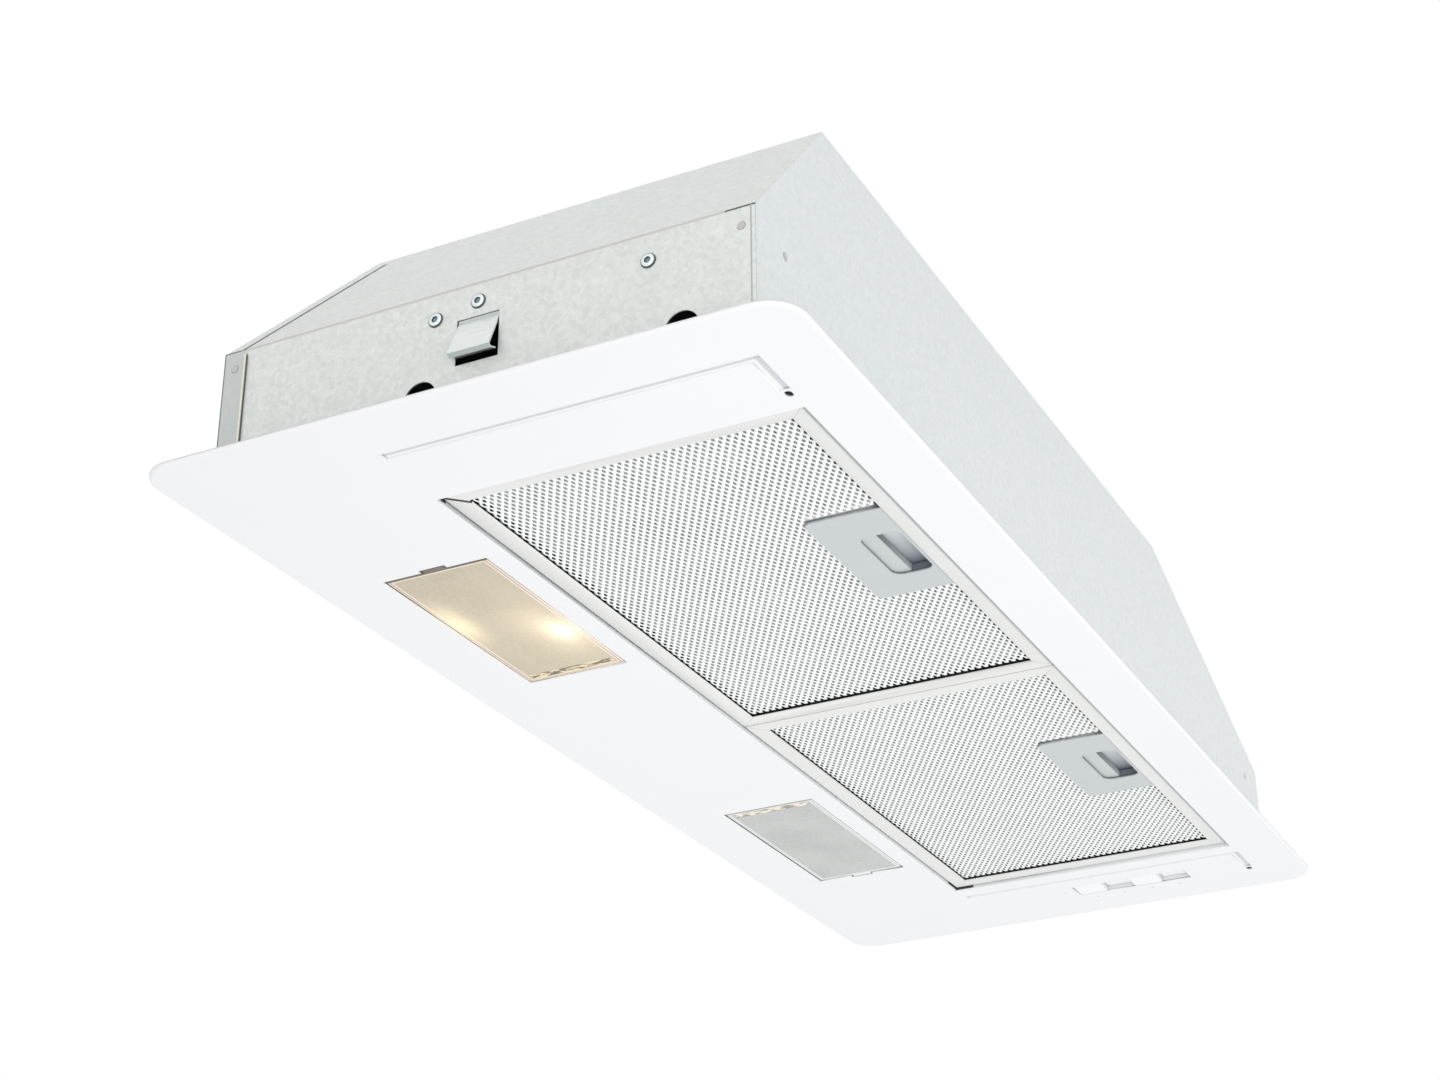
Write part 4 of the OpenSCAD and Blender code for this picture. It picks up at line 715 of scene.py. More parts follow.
# %% Bulb finish
for name, strength in (("bulb_glass_lit", 3.0), ("bulb_glass", 0.0)):
    opal = finish(name, (0.86, 0.84, 0.78), 0.18, vary=0.02, grain=300, bump=0.005 * MM, coat=0.3)
    shader = opal.node_tree.nodes["Principled BSDF"]
    shader.inputs["Emission Color"].default_value = (1.0, 0.78, 0.45, 1)
    shader.inputs["Emission Strength"].default_value = strength
print("materials:", len(materials))

# %% [markdown]
# ## Every CAD part gets its finish
# The record names a material slot for each part, so a loop can hand out the finishes. The left lamp's lens
# and bulb get the lit versions, and four sheets of the body have finishes of their own.

# %% Hand out the finishes
special = {"lamp_cover_left": "lamp_lens_lit", "lamp_bulb_left": "bulb_glass_lit",
           "left_end_wall": "galvanised_wall", "right_end_wall": "galvanised_wall",
           "left_slope_panel": "galvanised_seam", "rear_panel": "galvanised_rear"}


def material_for(node):
    """The finish of a CAD part: its own one, or else its slot's."""
    return materials[special.get(node, slot_of[node])]


for node, thing in frame["nodes"].items():
    thing.data.materials.clear()
    thing.data.materials.append(material_for(node))
print("finishes handed out to", len(frame["nodes"]), "parts")

# %% [markdown]
# ## Soft edges
# A pressed sheet or a moulded part never ends in a knife edge, and the thin highlight along a rounded edge
# is what makes it look solid. A CAD part's mesh has to stay as it is, so a merged copy is bevelled and
# stands in for it. The copy's flat faces are joined first, so that few edges meet at a corner. Only the face
# plate and the latch plates keep their triangles, and just the edges round their lowest face are rounded.

# %% Copies with softened edges


def merged_copy(node, join_flats=True):
    """A work copy of a CAD part's mesh, with its doubled points merged."""
    work = bmesh.new()
    work.from_mesh(frame["nodes"][node].data)
    bmesh.ops.remove_doubles(work, verts=work.verts, dist=0.003 * MM)
    if join_flats:
        bmesh.ops.dissolve_limit(work, angle_limit=math.radians(0.4), verts=work.verts, edges=work.edges)
    return work


def sharp_edges(work, angle=32):
    """The edges whose two faces meet at more than an angle in degrees."""
    limit = math.radians(angle)
    return [e for e in work.edges if len(e.link_faces) == 2 and e.calc_face_angle(0) > limit]


def round_over(work, edges, radius, segments=2):
    """Rounds the given edges of a work copy."""
    bmesh.ops.bevel(work, geom=edges, offset=radius, offset_type="OFFSET", segments=segments,
                    profile=0.5, affect="EDGES", clamp_overlap=False)


def plain_mesh(thing):
    """An object's mesh with its modifiers applied."""
    graph = bpy.context.evaluated_depsgraph_get()
    return bpy.data.meshes.new_from_object(thing.evaluated_get(graph))


def smooth_mesh(name, work):
    """Turns the work mesh into a plain mesh whose normals follow its large faces."""
    bmesh.ops.remove_doubles(work, verts=work.verts, dist=0.0005 * MM)
    bmesh.ops.recalc_face_normals(work, faces=work.faces)
    mesh = as_mesh(name, work)
    mesh.shade_smooth()
    mesh.set_sharp_from_angle(angle=math.radians(50))
    holder = linked(name + "_work", mesh)
    weigh = holder.modifiers.new("weigh", "WEIGHTED_NORMAL")
    weigh.keep_sharp = True
    done = plain_mesh(holder)
    bpy.data.objects.remove(holder)
    bpy.data.meshes.remove(mesh)
    done.name = name
    return done


# %% Pieces that stand in for CAD parts


def add_piece(name, mesh, body, slot, *stands_for, material=None):
    """Links a finished mesh, makes it ride on a body, and lets it stand for CAD nodes."""
    piece = linked(name, mesh)
    if material is not None:
        mesh.materials.clear()
        mesh.materials.append(material)
    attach(piece, body)
    if stands_for:
        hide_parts(*stands_for)
    return piece


def stand_in(node, mesh):
    """Makes a mesh the piece that stands for one CAD node; the piece takes the mesh's name."""
    return add_piece(mesh.name, mesh, body_of[node], slot_of[node], node, material=material_for(node))


def soften(node, radius):
    """The piece that stands for a CAD part with all its sharp edges rounded."""
    work = merged_copy(node)
    round_over(work, sharp_edges(work), radius)
    return stand_in(node, smooth_mesh(node + "_soft", work))


# %% Sheet metal and mouldings with rounded edges
edge_radii = {
    "front_panel": 0.2, "rear_panel": 0.2, "left_end_wall": 0.2, "right_end_wall": 0.2,
    "left_slope_panel": 0.2, "right_slope_panel": 0.2, "top_panel": 0.2,
    "clip_tongue_left": 0.15, "clip_tongue_right": 0.15,
    "button_1": 0.6, "button_2": 0.6, "button_3": 0.6, "button_4": 0.6,
    "lamp_cover_left": 0.3, "lamp_cover_right": 0.3, "lamp_housing_left": 0.25, "lamp_housing_right": 0.25,
    "terminal_box": 0.4, "terminal_box_lid": 0.4, "outlet_collar": 0.4}
for node, radius in edge_radii.items():
    piece = soften(node, radius * MM)
    print(node, len(piece.data.polygons), "faces")

# %% [markdown]
# ## The filters' latches
# The finger window of a latch looks into a shallow box. The photograph shows it grow darker towards one end,
# and the slide's front face do the opposite, because the box shuts the light out. A few faces therefore get
# finishes that run from dark to light along the window, on top of the shading that the renderer finds.

# %% A finish along the finger window


def running_finish(name, centre_x, half, start, end):
    """A plastic whose colour runs from start to end along X over a window's length."""
    material = finish(name, start, 0.5, vary=0.02, grain=900)
    tree = material.node_tree
    share = ranged(tree, split(tree, here(tree))["X"], 0, 1, centre_x - half, centre_x + half)
    tree.links.new(mix_colours(tree, share, start, end), tree.nodes["Principled BSDF"].inputs["Base Color"])
    return material


def repaint(piece, material, chosen):
    """Gives a piece's chosen faces another finish; chosen looks at a face's centre and normal."""
    mesh = piece.data
    mesh.materials.append(material)
    for face in mesh.polygons:
        if chosen(face.center, face.normal):
            face.material_index = len(mesh.materials) - 1


def lowest_edges(work, low_z):
    """The sharp edges round the face that looks straight down."""
    return [e for e in sharp_edges(work, 60) if max(v.co.z for v in e.verts) < low_z + 0.05 * MM]


# %% Latch plates and slides
window_half, window_shift = 20 * MM, 2 * MM
skin_t, back_t = 1.25 * MM, 0.5 * MM
front_wall, rear_wall_t = 0.8 * MM, 1.5 * MM
hollow_colours = (0.82, 0.86, 0.88), (0.2, 0.22, 0.26)
lip_colours = (0.14, 0.145, 0.15), (0.56, 0.59, 0.61)
for side in ("left", "right"):
    low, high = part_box("latch_plate_" + side)
    window_x = (low.x + high.x) / 2 + window_shift
    hollow = running_finish("latch_hollow_" + side, window_x, window_half, *hollow_colours)
    lip = running_finish("latch_lip_" + side, window_x, window_half, *lip_colours)
    work = merged_copy("latch_plate_" + side, join_flats=False)
    round_over(work, lowest_edges(work, low.z), 0.3 * MM)
    plate_piece = stand_in("latch_plate_" + side, smooth_mesh("latch_plate_%s_soft" % side, work))
    repaint(plate_piece, hollow, lambda c, n: low.z + skin_t < c.z < high.z - back_t
            and low.y + front_wall < c.y < high.y - rear_wall_t)
    slide_piece = soften("latch_slide_" + side, 0.3 * MM)
    repaint(slide_piece, lip, lambda c, n: n.y < -0.6 and abs(c.x - window_x) < window_half + 3 * MM)
    repaint(slide_piece, hollow, lambda c, n: abs(c.x - window_x) > window_half - 1 * MM)
    print(side, "latch:", len(plate_piece.data.polygons) + len(slide_piece.data.polygons), "faces")

# %% [markdown]
# ## The filters' frames
# A filter's frame is a folded channel: its lower lip is a single thin sheet, and the mesh lies right behind
# it. The CAD frame has a thick hem instead, which is safer for its solid. The copy's hem is thinned by moving
# its rings of points, the left frame's open mitre is cut through, and fine mitre lines, a painted shadow
# under the plate's front edge and painted shade inside the channel are part of the finish.

# %% Mitre lines in the frames' finish
bar_w, lip_t, rim_w = 8.5 * MM, 0.8 * MM, 1 * MM
filter_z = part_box("latch_plate_left")[0].z - 0.4 * MM
lip_top = filter_z + lip_t


def frame_size(side):
    """A filter frame's middle and half size; the frame is a little wider than its mesh."""
    low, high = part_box("filter_mesh_" + side)
    return (low + high) / 2, (high - low) / 2 + Vector((rim_w, rim_w, 0))


mitre_half, mitre_fade, mitre_strength = 0.3 * MM, 0.1 * MM, 0.35
frame_metal = materials["filter_frame"]
tree = frame_metal.node_tree
colour_in = tree.nodes["Principled BSDF"].inputs["Base Color"]
place = here(tree)
for side in ("left", "right"):
    middle, half = frame_size(side)
    away = split(tree, vector_calc(tree, "ABSOLUTE", vector_calc(tree, "SUBTRACT", place, middle)))
    lean = calc(tree, "SUBTRACT", away["X"], away["Y"])
    diagonal = calc(tree, "COMPARE", lean, half.x - half.y, mitre_half)
    inner = half.x - bar_w
    on_bar = ranged(tree, away["X"], 0, mitre_strength, inner - mitre_fade, inner)
    line = calc(tree, "MULTIPLY", diagonal, on_bar)
    tree.links.new(mix_colours(tree, line, colour_in.links[0].from_socket, (0.3, 0.3, 0.29)), colour_in)
print("each frame's bars are", round(bar_w / MM, 1), "mm wide")

# %% The open mitre's cutter


def stamp(name, mesh, cutter):
    """Cuts one shape out of another and returns the result as a plain mesh."""
    made = [linked(name + str(k), m) for k, m in enumerate((mesh, cutter))]
    cut = made[0].modifiers.new("cut", "BOOLEAN")
    cut.operation = "DIFFERENCE"
    cut.solver = "EXACT"
    cut.object = made[1]
    done = plain_mesh(made[0])
    for thing in made:
        bpy.data.objects.remove(thing)
    return done


slit_size = Vector((12, 1.5, 2)) * MM
middle, half = frame_size("left")
slit_place = Vector((middle.x - half.x + 6.1 * MM, middle.y + half.y - 4.4 * MM, filter_z))
slit = bmesh.new()
bmesh.ops.create_cube(slit, size=1.0)
bmesh.ops.scale(slit, verts=slit.verts, vec=slit_size)
bmesh.ops.rotate(slit, verts=slit.verts, matrix=Matrix.Rotation(math.radians(-45), 3, "Z"))
bmesh.ops.translate(slit, verts=slit.verts, vec=slit_place)
slit_mesh = as_mesh("slit", slit)
print("the cutter stands at", [round(c / MM, 1) for c in slit_place], "mm")

# %% Frames with a thin lip
hem_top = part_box("filter_mesh_left")[0].z
slope_z, slope_x = 1.2 * MM, (1 * MM, 3 * MM)
fine_slope_z, fine_slope_x = 0.4 * MM, 0.3 * MM


def thin_lip(work, middle, half):
    """Moves the rings of points round the thick hem, so that one thin sheet is left of it."""
    for vert in work.verts:
        height = vert.co.z - filter_z
        if abs(vert.co.z - hem_top) < 0.02 * MM:
            vert.co.z = lip_top
        elif abs(height - slope_z) < 0.03 * MM:
            vert.co.z = filter_z + fine_slope_z
        elif height < 0.05 * MM:
            for axis in (0, 1):
                inner = half[axis] - bar_w
                offset = vert.co[axis] - middle[axis]
                if inner + slope_x[0] < abs(offset) < inner + slope_x[1]:
                    vert.co[axis] = middle[axis] + math.copysign(inner + fine_slope_x, offset)


for side in ("left", "right"):
    middle, half = frame_size(side)
    work = merged_copy("filter_frame_" + side)
    thin_lip(work, middle, half)
    round_over(work, sharp_edges(work, 60), 0.2 * MM)
    mesh = smooth_mesh("filter_frame_%s_fine" % side, work)
    if side == "left":
        mesh = stamp("filter_frame_left_fine", mesh, slit_mesh)
    piece = add_piece("filter_frame_%s_fine" % side, mesh, body_of["filter_frame_" + side], "filter_frame",
                      "filter_frame_" + side, material=frame_metal)
    shade = materials["filter_shade"]
    # Painted shade: the channel's inside, the top of the lip and the open mitre's cut walls get the dark
    # filter_shade finish
    repaint(piece, shade, lambda c, n: c.z > lip_top - 0.1 * MM and n.z < 0.9
            and half.x - abs(c.x - middle.x) > 0.5 * MM and half.y - abs(c.y - middle.y) > 0.5 * MM)
    repaint(piece, shade, lambda c, n: abs(c.z - lip_top) < 0.1 * MM and n.z > 0.9)
    repaint(piece, shade, lambda c, n: abs(n.x * n.y) > 0.4 and c.z < lip_top)
    print(piece.name, len(piece.data.polygons), "faces")
# Painted shadow: the plate's front edge throws a shadow on the frames' front bars
shadow_low = (frames_low.x - 4.8, frames_low.y - 0.2, 0)
shadow_high = (frames_high.x + 4.8, frames_low.y + 1.5, 2.4)
stain(frame_metal, (0.4, 0.41, 0.42), (shadow_low, shadow_high), soft=0.35)

# %% [markdown]
# The pack of inner mesh ends a little short of the frame. From below that gap shows as a row of dark dots
# between the outer mesh's strands, along the two sides that face the camera.

# %% Cores that stop short of the frame
core_gap = 3.2 * MM
for side in ("left", "right"):
    middle, half = frame_size(side)
    work = merged_copy("filter_core_" + side)
    for vert in work.verts:
        for axis in (0, 1):
            limit = half[axis] - bar_w - core_gap
            offset = vert.co[axis] - middle[axis]
            vert.co[axis] = middle[axis] + max(-limit, min(limit, offset))
    stand_in("filter_core_" + side, smooth_mesh("filter_core_%s_fine" % side, work))
print("cores end", round(core_gap / MM, 1), "mm from the lips")

# %% [markdown]
# ## The face plate
# The plate is a deep-drawn sheet: its grooves are pressed in, not cut, so their edges flow into the flat.
# The CAD part holds the groove as a square channel. The edges round it get a wide rounding, which turns the
# channel into a shallow trough, while the rims of the openings get a narrow one.

# %% The face plate
groove_limit = 0.9 * MM
plate = merged_copy("face_plate", join_flats=False)
underside = lowest_edges(plate, 0)
groove_ring = []
for edge in underside:
    wall = min(edge.link_faces, key=lambda f: abs(f.normal.z))
    if edge.calc_length() > 1 * MM and max(v.co.z for v in wall.verts) < groove_limit:
        groove_ring.append(edge)
print("underside edges:", len(underside), "of them round the grooves:", len(groove_ring))
round_over(plate, groove_ring, 0.7 * MM, segments=3)
round_over(plate, lowest_edges(plate, 0), 0.35 * MM)
stand_in("face_plate", smooth_mesh("face_plate_soft", plate))

# %% [markdown]
# ## Growing repeated parts
# Mesh strands, screws and rivets repeat by the dozen or the thousand. Copying each by hand would be slow to
# change, so Geometry Nodes makes the strands from one tree with named inputs, and the fasteners from another.
# The result is turned into a plain mesh, and the holder object with its modifier is gone again before the
# mesh becomes a piece of the hood.

# %% Geometry Nodes helpers


def geo_tree(name, inputs):
    """A tree with the given inputs; returns it, its given values, its end, and the inputs' identifiers."""
    tree = bpy.data.node_groups.new(name, "GeometryNodeTree")
    tree.interface.new_socket("Geometry", in_out="OUTPUT", socket_type="NodeSocketGeometry")
    ids = {}
    for label, kind, value in inputs:
        socket = tree.interface.new_socket(label, in_out="INPUT", socket_type="NodeSocket" + kind)
        if value is not None:
            socket.default_value = value
        ids[label] = socket.identifier
    return tree, tree.nodes.new("NodeGroupInput").outputs, tree.nodes.new("NodeGroupOutput"), ids


def geo(tree, kind, terms, out=0, **settings):
    """The result of one node; its sockets are named in full, so that none is mixed up with a setting."""
    node = tree.nodes.new(kind)
    for key, value in settings.items():
        setattr(node, key, value)
    for label, term in terms.items():
        feed(tree, node.inputs[label], term)
    return node.outputs[out]


def combined(tree, x, y, z=0.0):
    """A vector from its three parts."""
    return geo(tree, "ShaderNodeCombineXYZ", {"X": x, "Y": y, "Z": z})


def end_tree(tree, shape, material, result):
    """Makes the instances real, sets the material, and links the result to the tree's end."""
    whole = geo(tree, "GeometryNodeRealizeInstances", {"Geometry": shape})
    dressed = geo(tree, "GeometryNodeSetMaterial", {"Geometry": whole, "Material": material})
    tree.links.new(dressed, result.inputs[0])


def grown(name, tree, ids, seed=None, **values):
    """Runs a tree on a seed mesh and returns the result as a plain mesh."""
    holder = linked(name + "_work", seed or bpy.data.meshes.new(name + "_seed"))
    modifier = holder.modifiers.new("grow", "NODES")
    modifier.node_group = tree
    for label, value in values.items():
        modifier[ids[label]] = value
    mesh = plain_mesh(holder)
    bpy.data.objects.remove(holder)
    mesh.name = name
    return mesh


# %% [markdown]
# ## Expanded mesh of the grease filters
# Expanded aluminium is slit and stretched sheet: rows of zigzag strands that join side by side at their
# peaks, each strand tilted like a louvre. A pattern in a material would look flat from the side, so the
# strands are real. One row is a line of points that step along the wave, two for each half pitch.

# %% One wavy row
mesh_tree, take, result, mesh_ids = geo_tree("expanded_mesh", [
    ("Length", "Float", 0.1), ("Rows", "Int", 10), ("Steps", "Int", 40), ("Wave", "Float", 5.56 * MM),
    ("Row Pitch", "Float", 1.73 * MM), ("Bond", "Float", 1.0 * MM), ("Swing", "Float", 0.46 * MM),
    ("Strand Width", "Float", 1.0 * MM), ("Strand Thickness", "Float", 0.3 * MM), ("Tilt", "Float", 0.6),
    ("Centre", "Vector", (0, 0, 0)), ("Gap Low", "Vector", (9, 9, 0)), ("Gap High", "Vector", (9, 9, 0)),
    ("Material", "Material", None)])
tree = mesh_tree
half_wave = calc(tree, "MULTIPLY", take["Wave"], 0.5)
index = tree.nodes.new("GeometryNodeInputIndex").outputs[0]
odd = calc(tree, "MODULO", index, 2.0)
half = calc(tree, "FLOOR", calc(tree, "MULTIPLY", index, 0.5))
along = calc(tree, "MULTIPLY_ADD", calc(tree, "SUBTRACT", odd, 0.5), take["Bond"],
             calc(tree, "MULTIPLY", half, half_wave))
peak = calc(tree, "MULTIPLY_ADD", calc(tree, "MODULO", half, 2.0), 2.0, -1.0)
wave_at = combined(tree, along, calc(tree, "MULTIPLY", peak, take["Swing"]))
line = geo(tree, "GeometryNodeMeshLine", {"Count": take["Steps"]})
waved = geo(tree, "GeometryNodeSetPosition", {"Geometry": line, "Position": wave_at})
print("one row takes", len(tree.nodes), "nodes")

# %% [markdown]
# Rows are laid one short pitch apart, every other one shifted by half a wave, so that the peaks of one row
# meet the dips of the next. The whole sheet is then moved so that its middle lies at the given centre.

# %% Rows side by side
row_shift = calc(tree, "MULTIPLY", odd, half_wave)
row_at = combined(tree, row_shift, calc(tree, "MULTIPLY", index, take["Row Pitch"]))
stack = geo(tree, "GeometryNodeMeshLine", {"Count": take["Rows"]})
rows = geo(tree, "GeometryNodeSetPosition", {"Geometry": stack, "Position": row_at})
laid = geo(tree, "GeometryNodeInstanceOnPoints", {"Points": rows, "Instance": waved})
edges = geo(tree, "GeometryNodeRealizeInstances", {"Geometry": laid})
middle_x = calc(tree, "MULTIPLY", calc(tree, "MULTIPLY", take["Steps"], 0.125), take["Wave"])
half_rows = calc(tree, "MULTIPLY", calc(tree, "SUBTRACT", take["Rows"], 1.0), 0.5)
off_middle = combined(tree, middle_x, calc(tree, "MULTIPLY", half_rows, take["Row Pitch"]))
to_place = vector_calc(tree, "SUBTRACT", take["Centre"], off_middle)
placed = geo(tree, "GeometryNodeSetPosition", {"Geometry": edges, "Offset": to_place})
print("with the rows:", len(tree.nodes), "nodes")

# %% [markdown]
# The points under the latch are taken out while the rows are still plain edges, since a curve would close up
# over the gap. Then each edge chain becomes a curve, and a small tilted rectangle runs along it.

# %% Room for the latch


def between(tree, value, low, high):
    """1 where a value lies between two others, else 0."""
    above = calc(tree, "GREATER_THAN", value, low)
    return calc(tree, "MULTIPLY", above, calc(tree, "LESS_THAN", value, high))


where = split(tree, tree.nodes.new("GeometryNodeInputPosition").outputs[0])
gap_low, gap_high = split(tree, take["Gap Low"]), split(tree, take["Gap High"])
in_gap = calc(tree, "MULTIPLY", *[between(tree, where[k], gap_low[k], gap_high[k]) for k in "XY"])
off_centre = calc(tree, "ABSOLUTE", calc(tree, "SUBTRACT", where["X"], split(tree, take["Centre"])["X"]))
outside = calc(tree, "GREATER_THAN", off_centre, calc(tree, "MULTIPLY", take["Length"], 0.5))
unwanted = calc(tree, "MAXIMUM", in_gap, outside)
trimmed = geo(tree, "GeometryNodeDeleteGeometry", {"Geometry": placed, "Selection": unwanted})
print("with the latch's gap:", len(tree.nodes), "nodes")

# %% From edges to strands
chains = geo(tree, "GeometryNodeMeshToCurve", {"Mesh": trimmed})
upright = geo(tree, "GeometryNodeSetCurveNormal", {"Curve": chains}, mode="Z_UP")
tilted = geo(tree, "GeometryNodeSetCurveTilt", {"Curve": upright, "Tilt": take["Tilt"]})
section = geo(tree, "GeometryNodeCurvePrimitiveQuadrilateral",
              {"Width": take["Strand Width"], "Height": take["Strand Thickness"]})
strands = geo(tree, "GeometryNodeCurveToMesh",
              {"Curve": tilted, "Profile Curve": section, "Fill Caps": True})
end_tree(tree, strands, take["Material"], result)
print("mesh tree has", len(tree.nodes), "nodes")

# %% [markdown]
# The front sheet stands for the CAD sheet. A coarser sheet closes the filter's back, where the CAD part ends
# in its plain core; it only shows when a filter is swung down.

# %% Front and back sheets
under_lip, right_gap, rear_gap = 2.2 * MM, 0.15 * MM, 0.95 * MM
strand_t, latch_room, latch_overlap = 0.3 * MM, 1.4 * MM, 0.4 * MM
for side in ("left", "right"):
    low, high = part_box("filter_mesh_" + side)
    latch_low, latch_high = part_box("latch_plate_" + side)
    core_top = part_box("filter_core_" + side)[1].z
    left_end, right_end = low.x - rim_w + bar_w - under_lip, high.x + rim_w - bar_w - right_gap
    front_row, rear_row = low.y - rim_w + bar_w - under_lip, high.y + rim_w - bar_w - rear_gap
    length = right_end - left_end
    latch_gap = {"Gap Low": (latch_low.x - latch_room, latch_low.y - latch_room, 0),
                 "Gap High": (latch_high.x - latch_overlap, latch_high.y - latch_overlap, 0)}
    for layer, z, wave, pitch, width, tilt, gap, stood_for in (
            ("front", lip_top + 0.6 * MM, 5.56 * MM, 1.73 * MM, 1.46 * MM, 12, latch_gap,
             ["filter_mesh_" + side]),
            ("back", core_top + 0.25 * MM, 9.2 * MM, 2.9 * MM, 1.3 * MM, 30, {}, [])):
        rows = int((rear_row - front_row) / pitch) + 1
        plan_width = width * math.cos(math.radians(tilt))
        sheet = grown("filter_%s_sheet_%s" % (layer, side), mesh_tree, mesh_ids, **gap, **{
            "Length": length, "Rows": rows, "Steps": 4 * int(length / wave + 2), "Wave": wave,
            "Row Pitch": pitch, "Bond": 0.2 * wave, "Swing": 0.5 * pitch - 0.3 * plan_width,
            "Strand Width": width, "Strand Thickness": strand_t, "Tilt": math.radians(tilt),
            "Centre": ((left_end + right_end) / 2, rear_row - (rows - 1) / 2 * pitch, z),
            "Material": materials["filter_mesh"]})
        piece = add_piece(sheet.name, sheet, body_of["filter_mesh_" + side], "filter_mesh", *stood_for)
        print(piece.name, len(sheet.polygons), "faces,", [round(c / MM, 2) for c in piece.dimensions])

# %% [markdown]
# ## Screws and blind rivets
# The CAD model has each screw and rivet as a plain head with a shank. Their places, directions and lengths
# are read from those solids, so nothing is typed twice: a fastener is an island of its node's mesh, its axis
# is the one that it is round about, and its head is the end where it is widest. One head and one shank are
# made, and Geometry Nodes sets them at every place. The heads face outwards along the stored direction.

# %% Where the fasteners are


def islands(node):
    """The node's separate solids, each as a list of points."""
    work = merged_copy(node)
    left, found = set(work.verts), []
    while left:
        stack = [left.pop()]
        group = set(stack)
        while stack:
            for edge in stack.pop().link_edges:
                for vert in edge.verts:
                    if vert not in group:
                        group.add(vert)
                        stack.append(vert)
        left -= group
        found.append([v.co.copy() for v in group])
    work.free()
    found.sort(key=lambda pts: tuple(round(c, 4) for c in sum(pts, Vector()) / len(pts)))
    return found


def fastener(points, head_reach):
    """Where a head seats, which way it faces, and how deep its shank goes."""
    low, high = [Vector([end(p[i] for p in points) for i in range(3)]) for end in (min, max)]
    middle, size = (low + high) / 2, high - low
    axis = min(range(3), key=lambda i: abs(size[(i + 1) % 3] - size[(i + 2) % 3]))
    i, j = [k for k in range(3) if k != axis]
    radii = [math.hypot(p[i] - middle[i], p[j] - middle[j]) for p in points]
    wide = [p[axis] for p, radius in zip(points, radii) if radius > 0.9 * max(radii)]
    side = 1 if sum(wide) / len(wide) > middle[axis] else -1
    seat = middle.copy()
    seat[axis] = min(wide, key=lambda c: side * c)
    outward = Vector((0, 0, 0))
    outward[axis] = side
    return seat, outward, size[axis] - head_reach


# %% The fastener tree
fix_tree, take, result, fix_ids = geo_tree("fasteners", [
    ("Head", "Object", None), ("Shank", "Object", None), ("Material", "Material", None)])
tree = fix_tree
seeds = tree.interface.new_socket("Places", in_out="INPUT", socket_type="NodeSocketGeometry")
tree.interface.move(seeds, 1)
points = geo(tree, "GeometryNodeMeshToPoints", {"Mesh": take["Places"]})
outward = geo(tree, "GeometryNodeInputNamedAttribute", {"Name": "outward"}, data_type="FLOAT_VECTOR",
              out="Attribute")
depth = geo(tree, "GeometryNodeInputNamedAttribute", {"Name": "depth"}, data_type="FLOAT", out="Attribute")
facing = geo(tree, "FunctionNodeAlignRotationToVector", {"Vector": outward}, axis="Z")
both = tree.nodes.new("GeometryNodeJoinGeometry")
for part, scale in (("Shank", combined(tree, 1.0, 1.0, depth)), ("Head", (1, 1, 1))):
    shape = geo(tree, "GeometryNodeObjectInfo", {"Object": take[part]}, out="Geometry")
    set_on = geo(tree, "GeometryNodeInstanceOnPoints",
                 {"Points": points, "Instance": shape, "Rotation": facing, "Scale": scale})
    tree.links.new(set_on, both.inputs[0])
end_tree(tree, both.outputs[0], take["Material"], result)
print("fastener tree has", len(tree.nodes), "nodes")

# %% Round shapes and their places


def lathe(name, profile, sides=28):
    """A closed round shape about Z from a list of (radius, height), first and last on the axis."""
    work = bmesh.new()
    rings = []
    for radius, height in profile:
        if radius < 1e-7:
            rings.append([work.verts.new((0, 0, height))])
        else:
            turns = [2 * math.pi * k / sides for k in range(sides)]
            circle = [(radius * math.cos(a), radius * math.sin(a), height) for a in turns]
            rings.append([work.verts.new(point) for point in circle])
    for one, two in zip(rings, rings[1:]):
        for k in range(sides):
            a, b = one[k % len(one)], one[(k + 1) % len(one)]
            c, d = two[(k + 1) % len(two)], two[k % len(two)]
            corners = list(dict.fromkeys((a, b, c, d)))
            if len(corners) > 2:
                work.faces.new(corners)
    bmesh.ops.recalc_face_normals(work, faces=work.faces)
    mesh = as_mesh(name, work)
    mesh.shade_smooth()
    mesh.set_sharp_from_angle(angle=math.radians(40))
    return mesh


def scaled(shares, radius, height):
    """A profile from shares of one radius and one height."""
    return [(r * radius, h * height) for r, h in shares]


def set_fasteners(name, node, head, shank, head_reach, material, replaces=True):
    """Sets a head and a shank at each of a node's fasteners."""
    found = [fastener(group, head_reach) for group in islands(node)]
    seed = bpy.data.meshes.new(name + "_places")
    seed.from_pydata([f[0] for f in found], [], [])
    seed.attributes.new("outward", "FLOAT_VECTOR", "POINT").data.foreach_set(
        "vector", [c for f in found for c in f[1]])
    seed.attributes.new("depth", "FLOAT", "POINT").data.foreach_set("value", [f[2] for f in found])
    made = [linked(name + part, mesh) for part, mesh in (("_head", head), ("_shank", shank))]
    mesh = grown(name, fix_tree, fix_ids, seed, Head=made[0], Shank=made[1], Material=materials[material])
    for thing in made:
        bpy.data.objects.remove(thing)
    piece = add_piece(name, mesh, "chassis", slot_of[node], *([node] if replaces else []))
    print(name, len(found), "places,", len(mesh.polygons), "faces")
    return piece


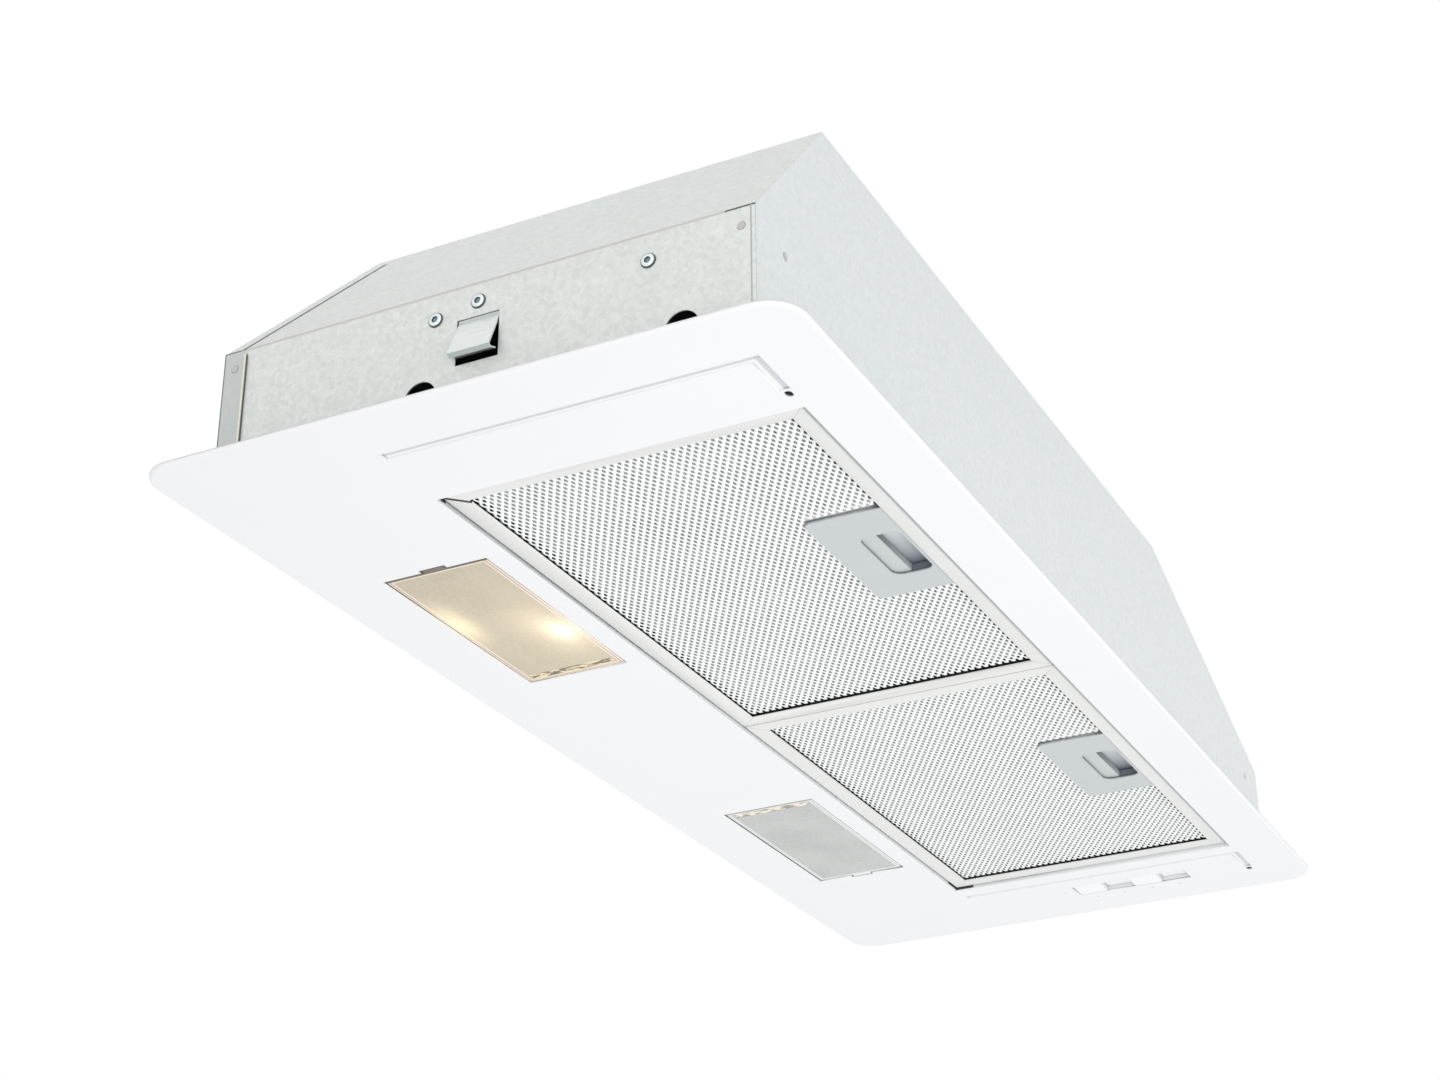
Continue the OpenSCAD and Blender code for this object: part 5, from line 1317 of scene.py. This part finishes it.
# %% Pan-head screws with a cross recess
head_r, head_h, shank_r = 3.2 * MM, 1.8 * MM, 1.7 * MM
pan_shares = [(0, 0), (0.97, 0), (1, 0.12), (1, 0.42), (0.93, 0.72), (0.74, 0.93), (0.4, 1), (0, 1)]
pan = lathe("pan", scaled(pan_shares, head_r, head_h))
arm, half_arm, tip = 1.75 * MM, 0.42 * MM, 0.6
recess, block_h = 1.05 * MM, 1.2 * MM
cross = bmesh.new()
for turn in (0, 1):
    made = bmesh.ops.create_cube(cross, size=1.0)["verts"]
    bmesh.ops.scale(cross, verts=made, vec=(2 * arm, 2 * half_arm, block_h))
    bmesh.ops.translate(cross, verts=made, vec=(0, 0, head_h + block_h / 2 - recess))
    for vert in made:
        if vert.co.z < head_h:
            vert.co.x *= tip
            vert.co.y *= tip
    bmesh.ops.rotate(cross, verts=made, cent=(0, 0, 0), matrix=Matrix.Rotation(turn * math.pi / 2, 3, "Z"))
screw_head = stamp("screw_head", pan, as_mesh("cross", cross))
turns, root, threaded = 7, 0.84, 0.98
thread = [(0, -1.0), (0.6, -1.0)]
for k in range(turns):
    thread += [(1, -1 + (k + 0.5) / turns * threaded), (root, -1 + (k + 1) / turns * threaded)]
thread += [(1, 0.0), (0, 0.0)]
screw_shank = lathe("screw_shank", scaled(thread, shank_r, 1), sides=16)
set_fasteners("body_screws_fine", "body_screws", screw_head, screw_shank, head_h, "zinc_screw")

# %% [markdown]
# A blind rivet is a ring-shaped dome with the broken end of its pull pin inside it. The dome is bright where
# it faces out, and its steep rim and hole get a dark finish that paints in their shade and dark reflection.
# The pin's end is dull and dark, so it is a piece of its own.

# %% Blind rivets
dome_r, dome_h, hole_r = 3.3 * MM, 1.1 * MM, 1.25 * MM
crown = [(0, 0), (0.98, 0), (1, 0.12), (0.97, 0.35), (0.84, 0.66), (0.72, 0.88), (0.55, 1)]
hole = [(1.12, 0.95), (1, 0.75), (0.94, 0.3), (0, 0.3)]
dome = lathe("dome", scaled(crown, dome_r, dome_h) + scaled(hole, hole_r, dome_h))
sleeve_r, sleeve_tip = 1.55 * MM, 1.0 * MM
sleeve = lathe("sleeve", [(0, -1.0), (sleeve_tip, -1.0), (sleeve_r, -0.86), (sleeve_r, 0), (0, 0)], sides=16)
rivets = set_fasteners("wall_rivets_fine", "wall_rivets", dome, sleeve, dome_h, "rivet_steel")
# Painted shade and dark reflection on each rivet's steep rim and hole
repaint(rivets, materials["rivet_rim"], lambda c, n: abs(n.x) < 0.82)
pin_shares = [(0, 0.2), (0.9, 0.2), (0.9, 0.55), (0.6, 0.72), (0, 0.74)]
pin_end = lathe("pin_end", scaled(pin_shares, hole_r, dome_h), sides=16)
stub_r = 0.5 * MM
no_shank = lathe("no_shank", [(0, -0.5), (stub_r, -0.5), (stub_r, 0), (0, 0)], sides=6)
set_fasteners("rivet_pins", "wall_rivets", pin_end, no_shank, dome_h, "rivet_pin", replaces=False)
